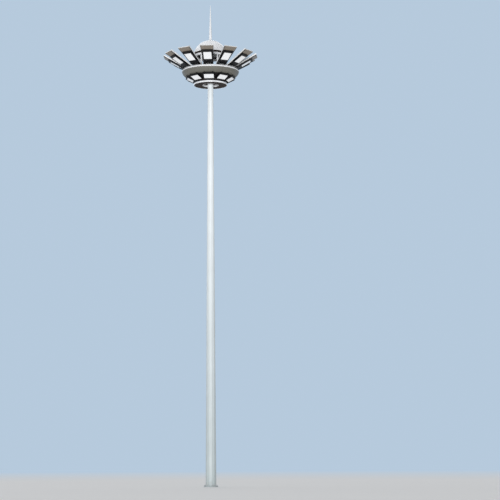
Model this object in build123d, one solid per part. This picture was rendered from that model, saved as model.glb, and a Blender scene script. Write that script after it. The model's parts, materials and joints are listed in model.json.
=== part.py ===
"""High mast floodlight tower with a petal crown of floodlights on a winch-lowered carriage.

Frame: the origin is the centre of the base flange's bottom face, +Z is up, and one
petal and one lower floodlight point along -Y. All sizes are in millimetres.
"""
import math
import os

from build123d import *

os.makedirs("parts", exist_ok=True)

# Fits and sheet
RUNNING_GAP = 0.3
SHEET = 5.0

# Base flange and its anchor bolts
FLANGE_REACH = 122.5
FLANGE_THICKNESS = 36.0
BOLT_COUNT = 12
BOLT_EDGE = 52.0
BOLT_HOLE_RADIUS = 19.0
CABLE_HOLE_RADIUS = 120.0

# Tapered shaft in three lengths, each slipped over the one below
MAST_SIDES = 12
MAST_BASE_WIDTH = 635.0
MAST_TAPER = 0.0127
LOWER_WALL = 8.0
MIDDLE_WALL = 6.0
UPPER_WALL = 5.0
LOWER_TOP_Z = 10000.0
MIDDLE_TOP_Z = 18950.0
MAST_TOP_Z = 26800.0
LOWER_LAP = 850.0
UPPER_LAP = 750.0

# Service door on the rear flat of the shaft
DOOR_WIDTH = 230.0
DOOR_HEIGHT = 620.0
DOOR_CORNER = 60.0
DOOR_MIDDLE_Z = 900.0
DOOR_LAP = 22.0
DOOR_PLATE = 6.0
FRAME_WIDTH = 34.0
FRAME_PLATE = 12.0
FRAME_GAP = 3.0
HINGE_RADIUS = 11.0
HINGE_LENGTH = 70.0
HINGE_SPACING = 380.0
LOCK_RADIUS = 16.0
LOCK_HEIGHT = 14.0
LOCK_SPACING = 360.0

# Head plate, arms, pulleys and ropes on top of the shaft
HEAD_PLATE_EDGE = 14.0
HEAD_PLATE_THICKNESS = 20.0
ARM_COUNT = 6
ARM_WIDTH = 70.0
ARM_HEIGHT = 80.0
ARM_WALL = 6.0
ARM_INNER_RADIUS = 190.0
PULLEY_COUNT = 3
PULLEY_FIRST_ANGLE = 30.0
ROPE_RADIUS = 6.0
ROPE_WALL_GAP = 32.0
ROPE_INSET = 60.0
ROPE_HOLE_RADIUS = 18.0
ROPE_TAIL = 420.0
PULLEY_WIDTH = 34.0
PULLEY_RIM = 14.0
PULLEY_LIFT = 30.0
PULLEY_PIN_RADIUS = 14.0
CHEEK_WIDTH = 90.0
CHEEK_THICKNESS = 10.0
PARTING_GAP = 5.0
BUFFER_LENGTH = 40.0
BUFFER_WIDTH = 60.0

# Dome, its skirt and the finial
DOME_RADIUS = 1050.0
DOME_HEIGHT = 830.0
DOME_LIP = 75.0
SKIRT_INSET = 50.0
SKIRT_HEIGHT = 125.0
FINIAL_HEIGHT = 2270.0
FINIAL_CLEARANCE = 16.0
FINIAL_TIP_RADIUS = 13.0
FINIAL_FOOT_STEP = 10.0
FINIAL_WALL = 8.0
FINIAL_FOOT_THICKNESS = 16.0
COLLAR_RADIUS = 170.0
COLLAR_HEIGHT = 70.0

# Carriage: crown ring and posts
CROWN_HEIGHT = 120.0
CROWN_WIDTH = 120.0
CROWN_WALL = 6.0
POST_HEIGHT = 865.0
POST_SIZE = 76.0
POST_CORNER = 12.0
POST_WALL = 5.0
POST_FOOT = 120.0
POST_FOOT_THICKNESS = 8.0

# Carriage: saucer
SAUCER_RADIUS = 1790.0
RIM_INSET = 35.0
RIM_HEIGHT = 65.0
RIM_WIDTH = 20.0
RIM_STEP = 15.0
BAND_INSET = 220.0
BAND_HEIGHT = 317.0
BAND_BULGE = 42.0
CONE_SLOPE = 26.0
NECK_HEIGHT = 265.0
LOWER_RIM_REACH = 39.5
LOWER_RIM_HEIGHT = 150.0
LOWER_RIM_LIP = 16.0
PASSAGE_RADIUS = 500.0

# Carriage: guide rollers and rope anchors
GUIDE_COUNT = 6
GUIDE_RISE = 580.0
AXLE_RADIUS = 12.0
ROLLER_RADIUS = 46.0
ROLLER_WIDTH = 70.0
ROLLER_REACH = 62.0
GUIDE_CHEEK = 8.0
GUIDE_HEIGHT = 90.0
ANCHOR_RADIUS = 30.0
ANCHOR_FLANGE_RADIUS = 48.0
ANCHOR_FLANGE_THICKNESS = 12.0
ANCHOR_HEIGHT = 110.0

# Petals
PETAL_COUNT = 12
PETAL_SLOPE = 29.5
PETAL_ROOT_INSET = 350.0
PETAL_LENGTH = 1700.0
PETAL_ROOT_WIDTH = 580.0
PETAL_TIP_WIDTH = 820.0
PETAL_FLANGE = 110.0
PETAL_TIP_LIP = 60.0
PETAL_RISE = 60.0
BRACKET_WIDTH = 260.0
BRACKET_CLEARANCE = 9.0
BRACKET_WALL = 8.0

# Upper floodlights, one on each petal
UPPER_LAMP_WIDTH = 580.0
UPPER_LAMP_LENGTH = 1100.0
UPPER_LAMP_START = 240.0
UPPER_LAMP_DEPTH = 70.0
UPPER_LENS_WIDTH = 500.0
UPPER_LENS_LENGTH = 630.0
UPPER_LENS_MARGIN = 145.0
UPPER_BACK_WIDTH = 470.0
UPPER_BACK_LENGTH = 960.0
UPPER_BACK_HEIGHT = 175.0
UPPER_BACK_DRAFT = 14.0
FIN_SLOTS = 14
FIN_PITCH = 25.0
FIN_SLOT_WIDTH = 17.0
FIN_DEPTH = 75.0
CUTOUT_CLEARANCE = 4.0
LAMP_CORNER = 25.0
LAMP_WALL = 8.0
LAMP_FRONT = 18.0
LENS_THICKNESS = 8.0
LENS_RECESS = 14.0
LENS_CLEARANCE = 2.0
LENS_LEDGE = 12.0

# Lower floodlights under the saucer
LOWER_LAMP_COUNT = 9
LOWER_LAMP_SPACING = 34.0
LOWER_LAMP_LENGTH = 545.0
LOWER_LAMP_DEPTH = 100.0
LOWER_LAMP_MARGIN = 88.0
LOWER_LAMP_END_GAP = 4.0
LOWER_LENS_LENGTH = 410.0
LOWER_LENS_MARGIN = 90.0
LOWER_LENS_BORDER = 40.0


def narrowed(width, rise):
    """Width across flats after the shaft has risen by some height."""
    return width - MAST_TAPER * rise


FLAT_TURN = 180.0 / MAST_SIDES
TAPER_ANGLE = math.degrees(math.atan(MAST_TAPER / 2))
FLANGE_RADIUS = MAST_BASE_WIDTH / 2 + FLANGE_REACH
BOLT_CIRCLE_RADIUS = FLANGE_RADIUS - BOLT_EDGE
MIDDLE_FOOT_Z = LOWER_TOP_Z - LOWER_LAP
MIDDLE_BORE = narrowed(MAST_BASE_WIDTH, MIDDLE_FOOT_Z - FLANGE_THICKNESS) + 2 * RUNNING_GAP
MIDDLE_WIDTH = MIDDLE_BORE + 2 * MIDDLE_WALL
UPPER_FOOT_Z = MIDDLE_TOP_Z - UPPER_LAP
UPPER_BORE = narrowed(MIDDLE_WIDTH, UPPER_FOOT_Z - MIDDLE_FOOT_Z) + 2 * RUNNING_GAP
TOP_BORE = narrowed(UPPER_BORE, MAST_TOP_Z - UPPER_FOOT_Z)

PLATE_TOP_Z = MAST_TOP_Z + HEAD_PLATE_THICKNESS
ROPE_RISE_RADIUS = TOP_BORE / 2 - ROPE_WALL_GAP
ROPE_DROP_RADIUS = PASSAGE_RADIUS + ROPE_INSET
PULLEY_RADIUS = (ROPE_DROP_RADIUS - ROPE_RISE_RADIUS) / 2
PULLEY_CENTRE_RADIUS = (ROPE_DROP_RADIUS + ROPE_RISE_RADIUS) / 2
PULLEY_Z = PLATE_TOP_Z + PULLEY_LIFT + PULLEY_RADIUS + PULLEY_RIM
HEAD_PLATE_RADIUS = PULLEY_CENTRE_RADIUS + CHEEK_WIDTH / 2 + HEAD_PLATE_EDGE

DOME_BASE_Z = PLATE_TOP_Z + ARM_HEIGHT
DOME_TOP_Z = DOME_BASE_Z + DOME_HEIGHT
DOME_SPHERE = (DOME_RADIUS**2 + DOME_HEIGHT**2) / (2 * DOME_HEIGHT)
DOME_CENTRE_Z = DOME_TOP_Z - DOME_SPHERE
SKIRT_RADIUS = DOME_RADIUS - SKIRT_INSET
FINIAL_TOP_Z = DOME_TOP_Z + FINIAL_HEIGHT
FINIAL_ROOT_RADIUS = ROPE_RISE_RADIUS - PULLEY_RIM - FINIAL_CLEARANCE
FINIAL_FOOT_RADIUS = FINIAL_ROOT_RADIUS + FINIAL_FOOT_STEP

CROWN_TOP_Z = DOME_BASE_Z - SKIRT_HEIGHT - PARTING_GAP
DECK_TOP_Z = CROWN_TOP_Z - CROWN_HEIGHT - POST_HEIGHT
DECK_BOTTOM_Z = DECK_TOP_Z - SHEET
RIM_TOP_Z = DECK_TOP_Z + RIM_STEP
RIM_RADIUS = SAUCER_RADIUS - RIM_INSET
BAND_TOP_Z = RIM_TOP_Z - RIM_HEIGHT
BAND_FOOT_RADIUS = SAUCER_RADIUS - BAND_INSET
BAND_FOOT_Z = BAND_TOP_Z - BAND_HEIGHT
CONE_LEAN = math.radians(CONE_SLOPE)
CONE_LENGTH = LOWER_LAMP_MARGIN + LOWER_LAMP_LENGTH + LOWER_LAMP_END_GAP
NECK_RADIUS = BAND_FOOT_RADIUS - CONE_LENGTH * math.cos(CONE_LEAN)
NECK_TOP_Z = BAND_FOOT_Z - CONE_LENGTH * math.sin(CONE_LEAN)
UNDERSIDE_Z = NECK_TOP_Z - NECK_HEIGHT - SHEET
LOWER_RIM_RADIUS = NECK_RADIUS + LOWER_RIM_REACH
GUIDE_Z = UNDERSIDE_Z + GUIDE_RISE

LOWER_LAMP_TURN = math.radians(180.0 / LOWER_LAMP_COUNT)
LOWER_LAMP_SIDE = LOWER_LAMP_SPACING / 2 / math.cos(LOWER_LAMP_TURN)
LOWER_LAMP_WIDTH = 2 * (NECK_RADIUS * math.tan(LOWER_LAMP_TURN) - LOWER_LAMP_SIDE)
LOWER_LENS_WIDTH = LOWER_LAMP_WIDTH - 2 * LOWER_LENS_BORDER

PETAL_LEAN = math.radians(PETAL_SLOPE)
PETAL_ROOT_RADIUS = SAUCER_RADIUS - PETAL_ROOT_INSET
BRACKET_OUTER_RADIUS = PETAL_ROOT_RADIUS + UPPER_LAMP_START * math.cos(PETAL_LEAN) - BRACKET_CLEARANCE


def save(shapes, name):
    """Write one node; a list of separate solids goes out as one compound."""
    node = Compound(children=shapes) if isinstance(shapes, list) else shapes
    node.label = name
    export_step(node, f"parts/{name}.step")


def around(shape, count, first_angle=0.0):
    """Copies of a shape evenly spaced about the mast axis."""
    return [shape.rotate(Axis.Z, first_angle + 360.0 * step / count) for step in range(count)]


def spun(points):
    """Solid of revolution about the mast axis from a closed outline of (radius, height)."""
    outline = Polyline([(radius, 0, height) for radius, height in points], close=True)
    return revolve(make_face(outline), Axis.Z, 360).solid()


def slab(width, length, height, corner=0.0):
    """Plate standing on the XY plane, with rounded upright corners where asked."""
    outline = RectangleRounded(width, length, corner) if corner else Rectangle(width, length)
    return extrude(outline, height).solid()


def shaft_prism(width, low_z, high_z):
    """Tapered polygon prism; width is across flats at its lower end."""
    profile = Pos(0, 0, low_z) * RegularPolygon(width / 2, MAST_SIDES, major_radius=False, rotation=FLAT_TURN)
    return extrude(profile, high_z - low_z, taper=TAPER_ANGLE).solid()


def shaft_tube(width, wall, low_z, high_z):
    return (shaft_prism(width, low_z, high_z) - shaft_prism(width - 2 * wall, low_z, high_z)).solid()


def base_flange():
    plate = Cylinder(FLANGE_RADIUS, FLANGE_THICKNESS, align=(Align.CENTER, Align.CENTER, Align.MIN))
    plate -= Cylinder(CABLE_HOLE_RADIUS, 3 * FLANGE_THICKNESS)
    for place in PolarLocations(BOLT_CIRCLE_RADIUS, BOLT_COUNT, start_angle=FLAT_TURN):
        plate -= place * Cylinder(BOLT_HOLE_RADIUS, 3 * FLANGE_THICKNESS)
    return plate.solid()


def door_prism(width, height, corner):
    """Rounded door outline pushed through the rear half of the shaft."""
    outline = Plane.XZ * Pos(0, DOOR_MIDDLE_Z) * RectangleRounded(width, height, corner)
    return extrude(outline, -MAST_BASE_WIDTH).solid()


def shaft_layer(inner_offset, outer_offset):
    """Skin that follows the lower shaft's facets between two distances from its face."""
    bottom = FLANGE_THICKNESS
    top = DOOR_MIDDLE_Z + DOOR_HEIGHT
    outer = shaft_prism(MAST_BASE_WIDTH + 2 * outer_offset, bottom, top)
    return outer - shaft_prism(MAST_BASE_WIDTH + 2 * inner_offset, bottom, top)


def door_leaf():
    outline = door_prism(DOOR_WIDTH + 2 * DOOR_LAP, DOOR_HEIGHT + 2 * DOOR_LAP, DOOR_CORNER + DOOR_LAP)
    return (shaft_layer(0, DOOR_PLATE) & outline).solid()


def door_frame():
    inside = DOOR_LAP + FRAME_GAP
    outside = inside + FRAME_WIDTH
    outer = door_prism(DOOR_WIDTH + 2 * outside, DOOR_HEIGHT + 2 * outside, DOOR_CORNER + outside)
    inner = door_prism(DOOR_WIDTH + 2 * inside, DOOR_HEIGHT + 2 * inside, DOOR_CORNER + inside)
    return ((shaft_layer(0, FRAME_PLATE) & outer) - inner).solid()


def shaft_face_y(z):
    """Distance of the rear flat from the axis at a height of the lower shaft."""
    return narrowed(MAST_BASE_WIDTH, z - FLANGE_THICKNESS) / 2


def door_locks():
    locks = []
    for offset in (-LOCK_SPACING / 2, LOCK_SPACING / 2):
        z = DOOR_MIDDLE_Z + offset
        face = (0, shaft_face_y(z) + DOOR_PLATE, z)
        seat = Plane(face, x_dir=(1, 0, 0), z_dir=(0, 1, MAST_TAPER / 2))
        boss = Cylinder(LOCK_RADIUS, LOCK_HEIGHT, align=(Align.CENTER, Align.CENTER, Align.MIN))
        key = extrude(RegularPolygon(LOCK_RADIUS / 2, 3), LOCK_HEIGHT / 2)
        boss = boss - Pos(0, 0, LOCK_HEIGHT - LOCK_HEIGHT / 3) * key
        locks.append((seat * boss).solid())
    return locks


def door_hinges():
    """Hinge barrels that stand on the frame beside the leaf."""
    hinges = []
    side = DOOR_WIDTH / 2 + DOOR_LAP + FRAME_GAP / 2
    turn = 360.0 / MAST_SIDES
    for offset in (-HINGE_SPACING / 2, HINGE_SPACING / 2):
        z = DOOR_MIDDLE_Z + offset
        face = shaft_face_y(z)
        across = (side - face * math.sin(math.radians(turn))) / math.cos(math.radians(turn))
        off = face + FRAME_PLATE + HINGE_RADIUS + RUNNING_GAP
        barrel = Pos(across, off, z) * Cylinder(HINGE_RADIUS, HINGE_LENGTH)
        barrel = barrel.rotate(Axis((0, face, z), (1, 0, 0)), TAPER_ANGLE)
        hinges.append(barrel.rotate(Axis.Z, -turn).solid())
    return hinges


def mast_sections():
    lower = shaft_tube(MAST_BASE_WIDTH, LOWER_WALL, FLANGE_THICKNESS, LOWER_TOP_Z)
    lower = (lower - door_prism(DOOR_WIDTH, DOOR_HEIGHT, DOOR_CORNER)).solid()
    middle = shaft_tube(MIDDLE_WIDTH, MIDDLE_WALL, MIDDLE_FOOT_Z, MIDDLE_TOP_Z)
    upper = shaft_tube(UPPER_BORE + 2 * UPPER_WALL, UPPER_WALL, UPPER_FOOT_Z, MAST_TOP_Z)
    return lower, middle, upper


def head_plate():
    plate = Pos(0, 0, MAST_TOP_Z) * Cylinder(
        HEAD_PLATE_RADIUS, HEAD_PLATE_THICKNESS, align=(Align.CENTER, Align.CENTER, Align.MIN))
    for place in PolarLocations(ROPE_RISE_RADIUS, PULLEY_COUNT, start_angle=PULLEY_FIRST_ANGLE):
        plate -= place * Pos(0, 0, MAST_TOP_Z) * Cylinder(ROPE_HOLE_RADIUS, 3 * HEAD_PLATE_THICKNESS)
    return plate.solid()


def head_arms():
    """Box beams from the head plate out to the dome's skirt."""
    outer_end = SKIRT_RADIUS - SHEET - RUNNING_GAP
    bore = Rectangle(ARM_WIDTH - 2 * ARM_WALL, ARM_HEIGHT - 2 * ARM_WALL)
    tube = Rectangle(ARM_WIDTH, ARM_HEIGHT) - bore
    length = outer_end - ARM_INNER_RADIUS
    arm = extrude(Plane.YZ.offset(ARM_INNER_RADIUS) * tube, length)
    arm = Pos(0, 0, PLATE_TOP_Z + ARM_HEIGHT / 2) * arm
    arm &= Cylinder(outer_end, 4 * MAST_TOP_Z)
    return around(arm.solid(), ARM_COUNT)


def dock_buffers():
    """Rubber blocks under the arms, which the crown ring comes up against."""
    height = PLATE_TOP_Z - CROWN_TOP_Z - RUNNING_GAP
    radius = SKIRT_RADIUS - SHEET - BUFFER_LENGTH
    block = Pos(radius, 0, CROWN_TOP_Z + RUNNING_GAP) * slab(BUFFER_LENGTH, BUFFER_WIDTH, height)
    return around(block, ARM_COUNT)


def pulley_plane(angle):
    """Plane of a pulley's middle, with X pointing out from the mast axis."""
    cos, sin = math.cos(math.radians(angle)), math.sin(math.radians(angle))
    origin = (PULLEY_CENTRE_RADIUS * cos, PULLEY_CENTRE_RADIUS * sin, PULLEY_Z)
    return Plane(origin, x_dir=(cos, sin, 0), z_dir=(sin, -cos, 0))


def pulley_angles():
    return [PULLEY_FIRST_ANGLE + 360.0 * step / PULLEY_COUNT for step in range(PULLEY_COUNT)]


def head_pulleys():
    """Grooved wheels; the rope lies in a round groove cut into the rim."""
    seat = ROPE_RADIUS + RUNNING_GAP
    mouth = Cylinder(PULLEY_RADIUS + 2 * PULLEY_RIM, 2 * seat) - Cylinder(PULLEY_RADIUS, PULLEY_WIDTH)
    wheel = Cylinder(PULLEY_RADIUS + PULLEY_RIM, PULLEY_WIDTH) - Torus(PULLEY_RADIUS, seat) - mouth
    wheel -= Cylinder(PULLEY_PIN_RADIUS + RUNNING_GAP, 2 * PULLEY_WIDTH)
    return [(pulley_plane(angle) * wheel).solid() for angle in pulley_angles()]


def pulley_cheeks():
    """Two upright plates a pulley, joined by the pin that the wheel turns on."""
    drop = PULLEY_Z - PLATE_TOP_Z
    foot = Pos(0, -drop / 2) * Rectangle(CHEEK_WIDTH, drop)
    plate = extrude(foot + Circle(CHEEK_WIDTH / 2), CHEEK_THICKNESS)
    inner_face = PULLEY_WIDTH / 2 + RUNNING_GAP
    pin = Cylinder(PULLEY_PIN_RADIUS, 2 * inner_face)
    pair = Pos(0, 0, inner_face) * plate + Pos(0, 0, -inner_face - CHEEK_THICKNESS) * plate + pin
    return [(pulley_plane(angle) * pair).solid() for angle in pulley_angles()]


def hoist_ropes():
    """Each rope rises inside the shaft, turns over its pulley and drops to the carriage."""
    anchor_top = DECK_TOP_Z + ANCHOR_HEIGHT + RUNNING_GAP
    ropes = []
    for angle in pulley_angles():
        plane = pulley_plane(angle)
        rise = Line((-PULLEY_RADIUS, MAST_TOP_Z - ROPE_TAIL - PULLEY_Z), (-PULLEY_RADIUS, 0))
        turn = ThreePointArc((-PULLEY_RADIUS, 0), (0, PULLEY_RADIUS), (PULLEY_RADIUS, 0))
        drop = Line((PULLEY_RADIUS, 0), (PULLEY_RADIUS, anchor_top - PULLEY_Z))
        path = Wire([plane * rise, plane * turn, plane * drop])
        start = Plane(path @ 0, z_dir=path % 0)
        ropes.append(sweep(start * Circle(ROPE_RADIUS), path=path).solid())
    return ropes


def dome_height(radius, inset=0.0):
    """Height of the dome's skin at a distance from the axis."""
    return DOME_CENTRE_Z + math.sqrt((DOME_SPHERE - inset)**2 - radius**2)


def dome_arc(start_radius, end_radius, inset):
    middle = (start_radius + end_radius) / 2
    places = [(r, 0, dome_height(r, inset)) for r in (start_radius, middle, end_radius)]
    return ThreePointArc(*places)


def dome_shell():
    """Spherical cap with an inturned lip below and a hole for the finial above."""
    hole = FINIAL_ROOT_RADIUS + RUNNING_GAP
    outer = dome_arc(DOME_RADIUS, hole, 0.0)
    inner_foot = DOME_RADIUS - SHEET
    inner = dome_arc(hole, inner_foot - SHEET, SHEET)
    lip_z = DOME_BASE_Z + SHEET
    lip_radius = DOME_RADIUS - DOME_LIP
    corner = inner @ 1
    edges = [
        outer,
        Line(outer @ 1, inner @ 0),
        inner,
        Line(corner, (corner.X, 0, lip_z)),
        Line((corner.X, 0, lip_z), (lip_radius, 0, lip_z)),
        Line((lip_radius, 0, lip_z), (lip_radius, 0, DOME_BASE_Z)),
        Line((lip_radius, 0, DOME_BASE_Z), (DOME_RADIUS, 0, DOME_BASE_Z)),
    ]
    return revolve(make_face(edges), Axis.Z, 360).solid()


def dome_skirt():
    inner = SKIRT_RADIUS - SHEET
    low = DOME_BASE_Z - SKIRT_HEIGHT
    return spun([(inner, low), (SKIRT_RADIUS, low), (SKIRT_RADIUS, DOME_BASE_Z), (inner, DOME_BASE_Z)])


def finial():
    """Tube that stands on the head plate, goes straight through the dome and tapers to a closed tip."""
    foot_top = PLATE_TOP_Z + FINIAL_FOOT_THICKNESS
    bore = FINIAL_ROOT_RADIUS - FINIAL_WALL
    shoulder = FINIAL_TOP_Z - FINIAL_TIP_RADIUS
    return spun([
        (bore, PLATE_TOP_Z), (FINIAL_FOOT_RADIUS, PLATE_TOP_Z), (FINIAL_FOOT_RADIUS, foot_top),
        (FINIAL_ROOT_RADIUS, foot_top), (FINIAL_ROOT_RADIUS, DOME_TOP_Z),
        (FINIAL_TIP_RADIUS, shoulder), (0, FINIAL_TOP_Z),
        (0, shoulder - FINIAL_WALL), (bore, DOME_TOP_Z),
    ])


def finial_collar():
    """Flared weather collar round the finial, seated on the dome's skin."""
    bore = FINIAL_ROOT_RADIUS + RUNNING_GAP
    foot = dome_height(COLLAR_RADIUS) + RUNNING_GAP
    inner_foot = dome_height(bore) + RUNNING_GAP
    top = inner_foot + COLLAR_HEIGHT
    flare = ThreePointArc(
        (bore + SHEET, 0, top),
        (bore + (COLLAR_RADIUS - bore) / 4, 0, foot + COLLAR_HEIGHT / 3),
        (COLLAR_RADIUS, 0, foot + SHEET))
    seat = ThreePointArc(
        (COLLAR_RADIUS, 0, foot),
        ((COLLAR_RADIUS + bore) / 2, 0, dome_height((COLLAR_RADIUS + bore) / 2) + RUNNING_GAP),
        (bore, 0, inner_foot))
    corner = (bore, 0, top)
    edges = [flare, Line(flare @ 1, seat @ 0), seat, Line(seat @ 1, corner), Line(corner, flare @ 0)]
    return revolve(make_face(edges), Axis.Z, 360).solid()


def crown_ring():
    """Rolled channel, open towards the mast."""
    outer = DOME_RADIUS
    inner = outer - CROWN_WIDTH
    low = CROWN_TOP_Z - CROWN_HEIGHT
    web = outer - CROWN_WALL
    return spun([
        (inner, low), (outer, low), (outer, CROWN_TOP_Z), (inner, CROWN_TOP_Z),
        (inner, CROWN_TOP_Z - CROWN_WALL), (web, CROWN_TOP_Z - CROWN_WALL),
        (web, low + CROWN_WALL), (inner, low + CROWN_WALL),
    ])


def crown_posts():
    """Square tube posts on foot plates, one behind each petal."""
    radius = DOME_RADIUS - CROWN_WIDTH / 2
    bore_size = POST_SIZE - 2 * POST_WALL
    bore = slab(bore_size, bore_size, POST_HEIGHT, POST_CORNER - POST_WALL)
    post = slab(POST_SIZE, POST_SIZE, POST_HEIGHT, POST_CORNER)
    post = post + slab(POST_FOOT, POST_FOOT, POST_FOOT_THICKNESS) - Pos(0, 0, POST_FOOT_THICKNESS) * bore
    return around((Pos(0, -radius, DECK_TOP_Z) * post).solid(), PETAL_COUNT)


def saucer_rim():
    """Sloping white edge strip that laps onto the deck."""
    lap_inner = RIM_RADIUS - RIM_WIDTH
    deck_edge = RIM_RADIUS - SHEET
    return spun([
        (SAUCER_RADIUS, BAND_TOP_Z), (RIM_RADIUS, RIM_TOP_Z), (lap_inner, RIM_TOP_Z),
        (lap_inner, DECK_TOP_Z), (deck_edge, DECK_TOP_Z), (SAUCER_RADIUS - SHEET, BAND_TOP_Z),
    ])


def saucer_band():
    """Bulging side of the saucer, from the rim down to the lamp cone."""
    foot_z = BAND_FOOT_Z + SHEET
    run = SAUCER_RADIUS - BAND_FOOT_RADIUS
    drop = BAND_TOP_Z - foot_z
    chord = math.hypot(run, drop)
    out, down = drop / chord, run / chord
    middle_radius = BAND_FOOT_RADIUS + run / 2 + BAND_BULGE * out
    middle_z = foot_z + drop / 2 - BAND_BULGE * down
    outer = ThreePointArc(
        (SAUCER_RADIUS, 0, BAND_TOP_Z), (middle_radius, 0, middle_z), (BAND_FOOT_RADIUS, 0, foot_z))
    inner = ThreePointArc(
        (BAND_FOOT_RADIUS - SHEET, 0, foot_z),
        (middle_radius - SHEET * out, 0, middle_z + SHEET * down),
        (SAUCER_RADIUS - SHEET, 0, BAND_TOP_Z))
    edges = [outer, Line(outer @ 1, inner @ 0), inner, Line(inner @ 1, outer @ 0)]
    return revolve(make_face(edges), Axis.Z, 360).solid()


def cone_z(radius):
    """Height of the lamp cone's outer skin."""
    return BAND_FOOT_Z - (BAND_FOOT_RADIUS - radius) * math.tan(CONE_LEAN)


def saucer_cone():
    """Sloping underside that the lower floodlights hang on, with flat seats at both edges."""
    inner = NECK_RADIUS - SHEET
    seat = 2 * SHEET
    return spun([
        (inner, NECK_TOP_Z), (NECK_RADIUS, NECK_TOP_Z),
        (BAND_FOOT_RADIUS, BAND_FOOT_Z), (BAND_FOOT_RADIUS, BAND_FOOT_Z + SHEET),
        (BAND_FOOT_RADIUS - seat, BAND_FOOT_Z + SHEET), (inner, NECK_TOP_Z + SHEET),
    ])


def saucer_neck():
    low = UNDERSIDE_Z + SHEET
    inner = NECK_RADIUS - SHEET
    return spun([(inner, low), (NECK_RADIUS, low), (NECK_RADIUS, NECK_TOP_Z), (inner, NECK_TOP_Z)])


def lower_rim():
    """White channel round the foot of the neck, with a lip above and below."""
    web = LOWER_RIM_RADIUS - SHEET
    low = UNDERSIDE_Z - SHEET
    high = low + LOWER_RIM_HEIGHT
    lip = LOWER_RIM_RADIUS - LOWER_RIM_LIP
    neck = NECK_RADIUS + RUNNING_GAP
    return spun([
        (lip, low), (LOWER_RIM_RADIUS, low), (LOWER_RIM_RADIUS, high), (neck, high),
        (neck, high - SHEET), (web, high - SHEET), (web, UNDERSIDE_Z), (lip, UNDERSIDE_Z),
    ])


def underside_plate():
    outer = LOWER_RIM_RADIUS - SHEET - RUNNING_GAP
    high = UNDERSIDE_Z + SHEET
    return spun([(PASSAGE_RADIUS, UNDERSIDE_Z), (outer, UNDERSIDE_Z), (outer, high), (PASSAGE_RADIUS, high)])


def passage_tube():
    """Inner wall of the hole that the shaft runs through."""
    outer = PASSAGE_RADIUS + SHEET
    low = UNDERSIDE_Z + SHEET
    high = DECK_BOTTOM_Z
    return spun([(PASSAGE_RADIUS, low), (outer, low), (outer, high), (PASSAGE_RADIUS, high)])


def saucer_deck():
    inner = PASSAGE_RADIUS
    outer = RIM_RADIUS - SHEET - RUNNING_GAP
    return spun([(inner, DECK_BOTTOM_Z), (outer, DECK_BOTTOM_Z), (outer, DECK_TOP_Z), (inner, DECK_TOP_Z)])


def guide_parts():
    """Rollers in forked brackets on the passage wall; they meet the shaft only when it sways."""
    axle_x = PASSAGE_RADIUS - ROLLER_REACH
    half = ROLLER_WIDTH / 2
    across = Pos(axle_x, 0, GUIDE_Z) * Rot(90, 0, 0)
    bore = Cylinder(AXLE_RADIUS + RUNNING_GAP, ROLLER_WIDTH)
    roller = across * (Cylinder(ROLLER_RADIUS, ROLLER_WIDTH) - bore)
    reach = ROLLER_REACH + 2 * GUIDE_CHEEK
    cheek = Pos(axle_x + reach / 2 - GUIDE_CHEEK, half + GUIDE_CHEEK / 2, GUIDE_Z) * Box(
        reach, GUIDE_CHEEK, GUIDE_HEIGHT)
    back = Pos(PASSAGE_RADIUS - GUIDE_CHEEK, 0, GUIDE_Z) * Box(
        2 * GUIDE_CHEEK, ROLLER_WIDTH + 2 * GUIDE_CHEEK, GUIDE_HEIGHT)
    fork = back + cheek + mirror(cheek, about=Plane.XZ)
    fork &= Cylinder(PASSAGE_RADIUS - RUNNING_GAP, 4 * GUIDE_Z)
    fork -= across * Cylinder(ROLLER_RADIUS + RUNNING_GAP, ROLLER_WIDTH)
    fork += across * Cylinder(AXLE_RADIUS, ROLLER_WIDTH + 2 * GUIDE_CHEEK)
    return around(roller.solid(), GUIDE_COUNT), around(fork.solid(), GUIDE_COUNT)


def rope_anchors():
    """Spring-loaded rope ends that stand on the deck."""
    width = 2 * ANCHOR_FLANGE_RADIUS
    flange = slab(width, width, ANCHOR_FLANGE_THICKNESS, ANCHOR_FLANGE_THICKNESS)
    body = Cylinder(ANCHOR_RADIUS, ANCHOR_HEIGHT, align=(Align.CENTER, Align.CENTER, Align.MIN))
    anchor = Pos(ROPE_DROP_RADIUS, 0, DECK_TOP_Z) * (flange + body)
    return around(anchor.solid(), PULLEY_COUNT, PULLEY_FIRST_ANGLE)


def slope_plane(radius, z, slope):
    """Plane at -Y that climbs outwards; its Z points up and in, away from the lens side."""
    lean = math.radians(slope)
    return Plane((0, -radius, z), x_dir=(-1, 0, 0), z_dir=(0, math.sin(lean), math.cos(lean)))


def petal_plane():
    return slope_plane(PETAL_ROOT_RADIUS, DECK_TOP_Z + PETAL_RISE, PETAL_SLOPE)


def petal_outline(inset):
    """Trapezoid of the petal, drawn in by an even distance at its two sides and its tip."""
    lean = math.atan((PETAL_TIP_WIDTH - PETAL_ROOT_WIDTH) / 2 / PETAL_LENGTH)
    shift = inset / math.cos(lean)
    root = PETAL_ROOT_WIDTH / 2 - shift
    tip_y = PETAL_LENGTH - inset
    tip = PETAL_ROOT_WIDTH / 2 + tip_y * math.tan(lean) - shift
    return make_face(Polyline((-root, 0), (root, 0), (tip, tip_y), (-tip, tip_y), close=True))


def upper_lamp_middle():
    return UPPER_LAMP_START + UPPER_LAMP_LENGTH / 2


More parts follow.
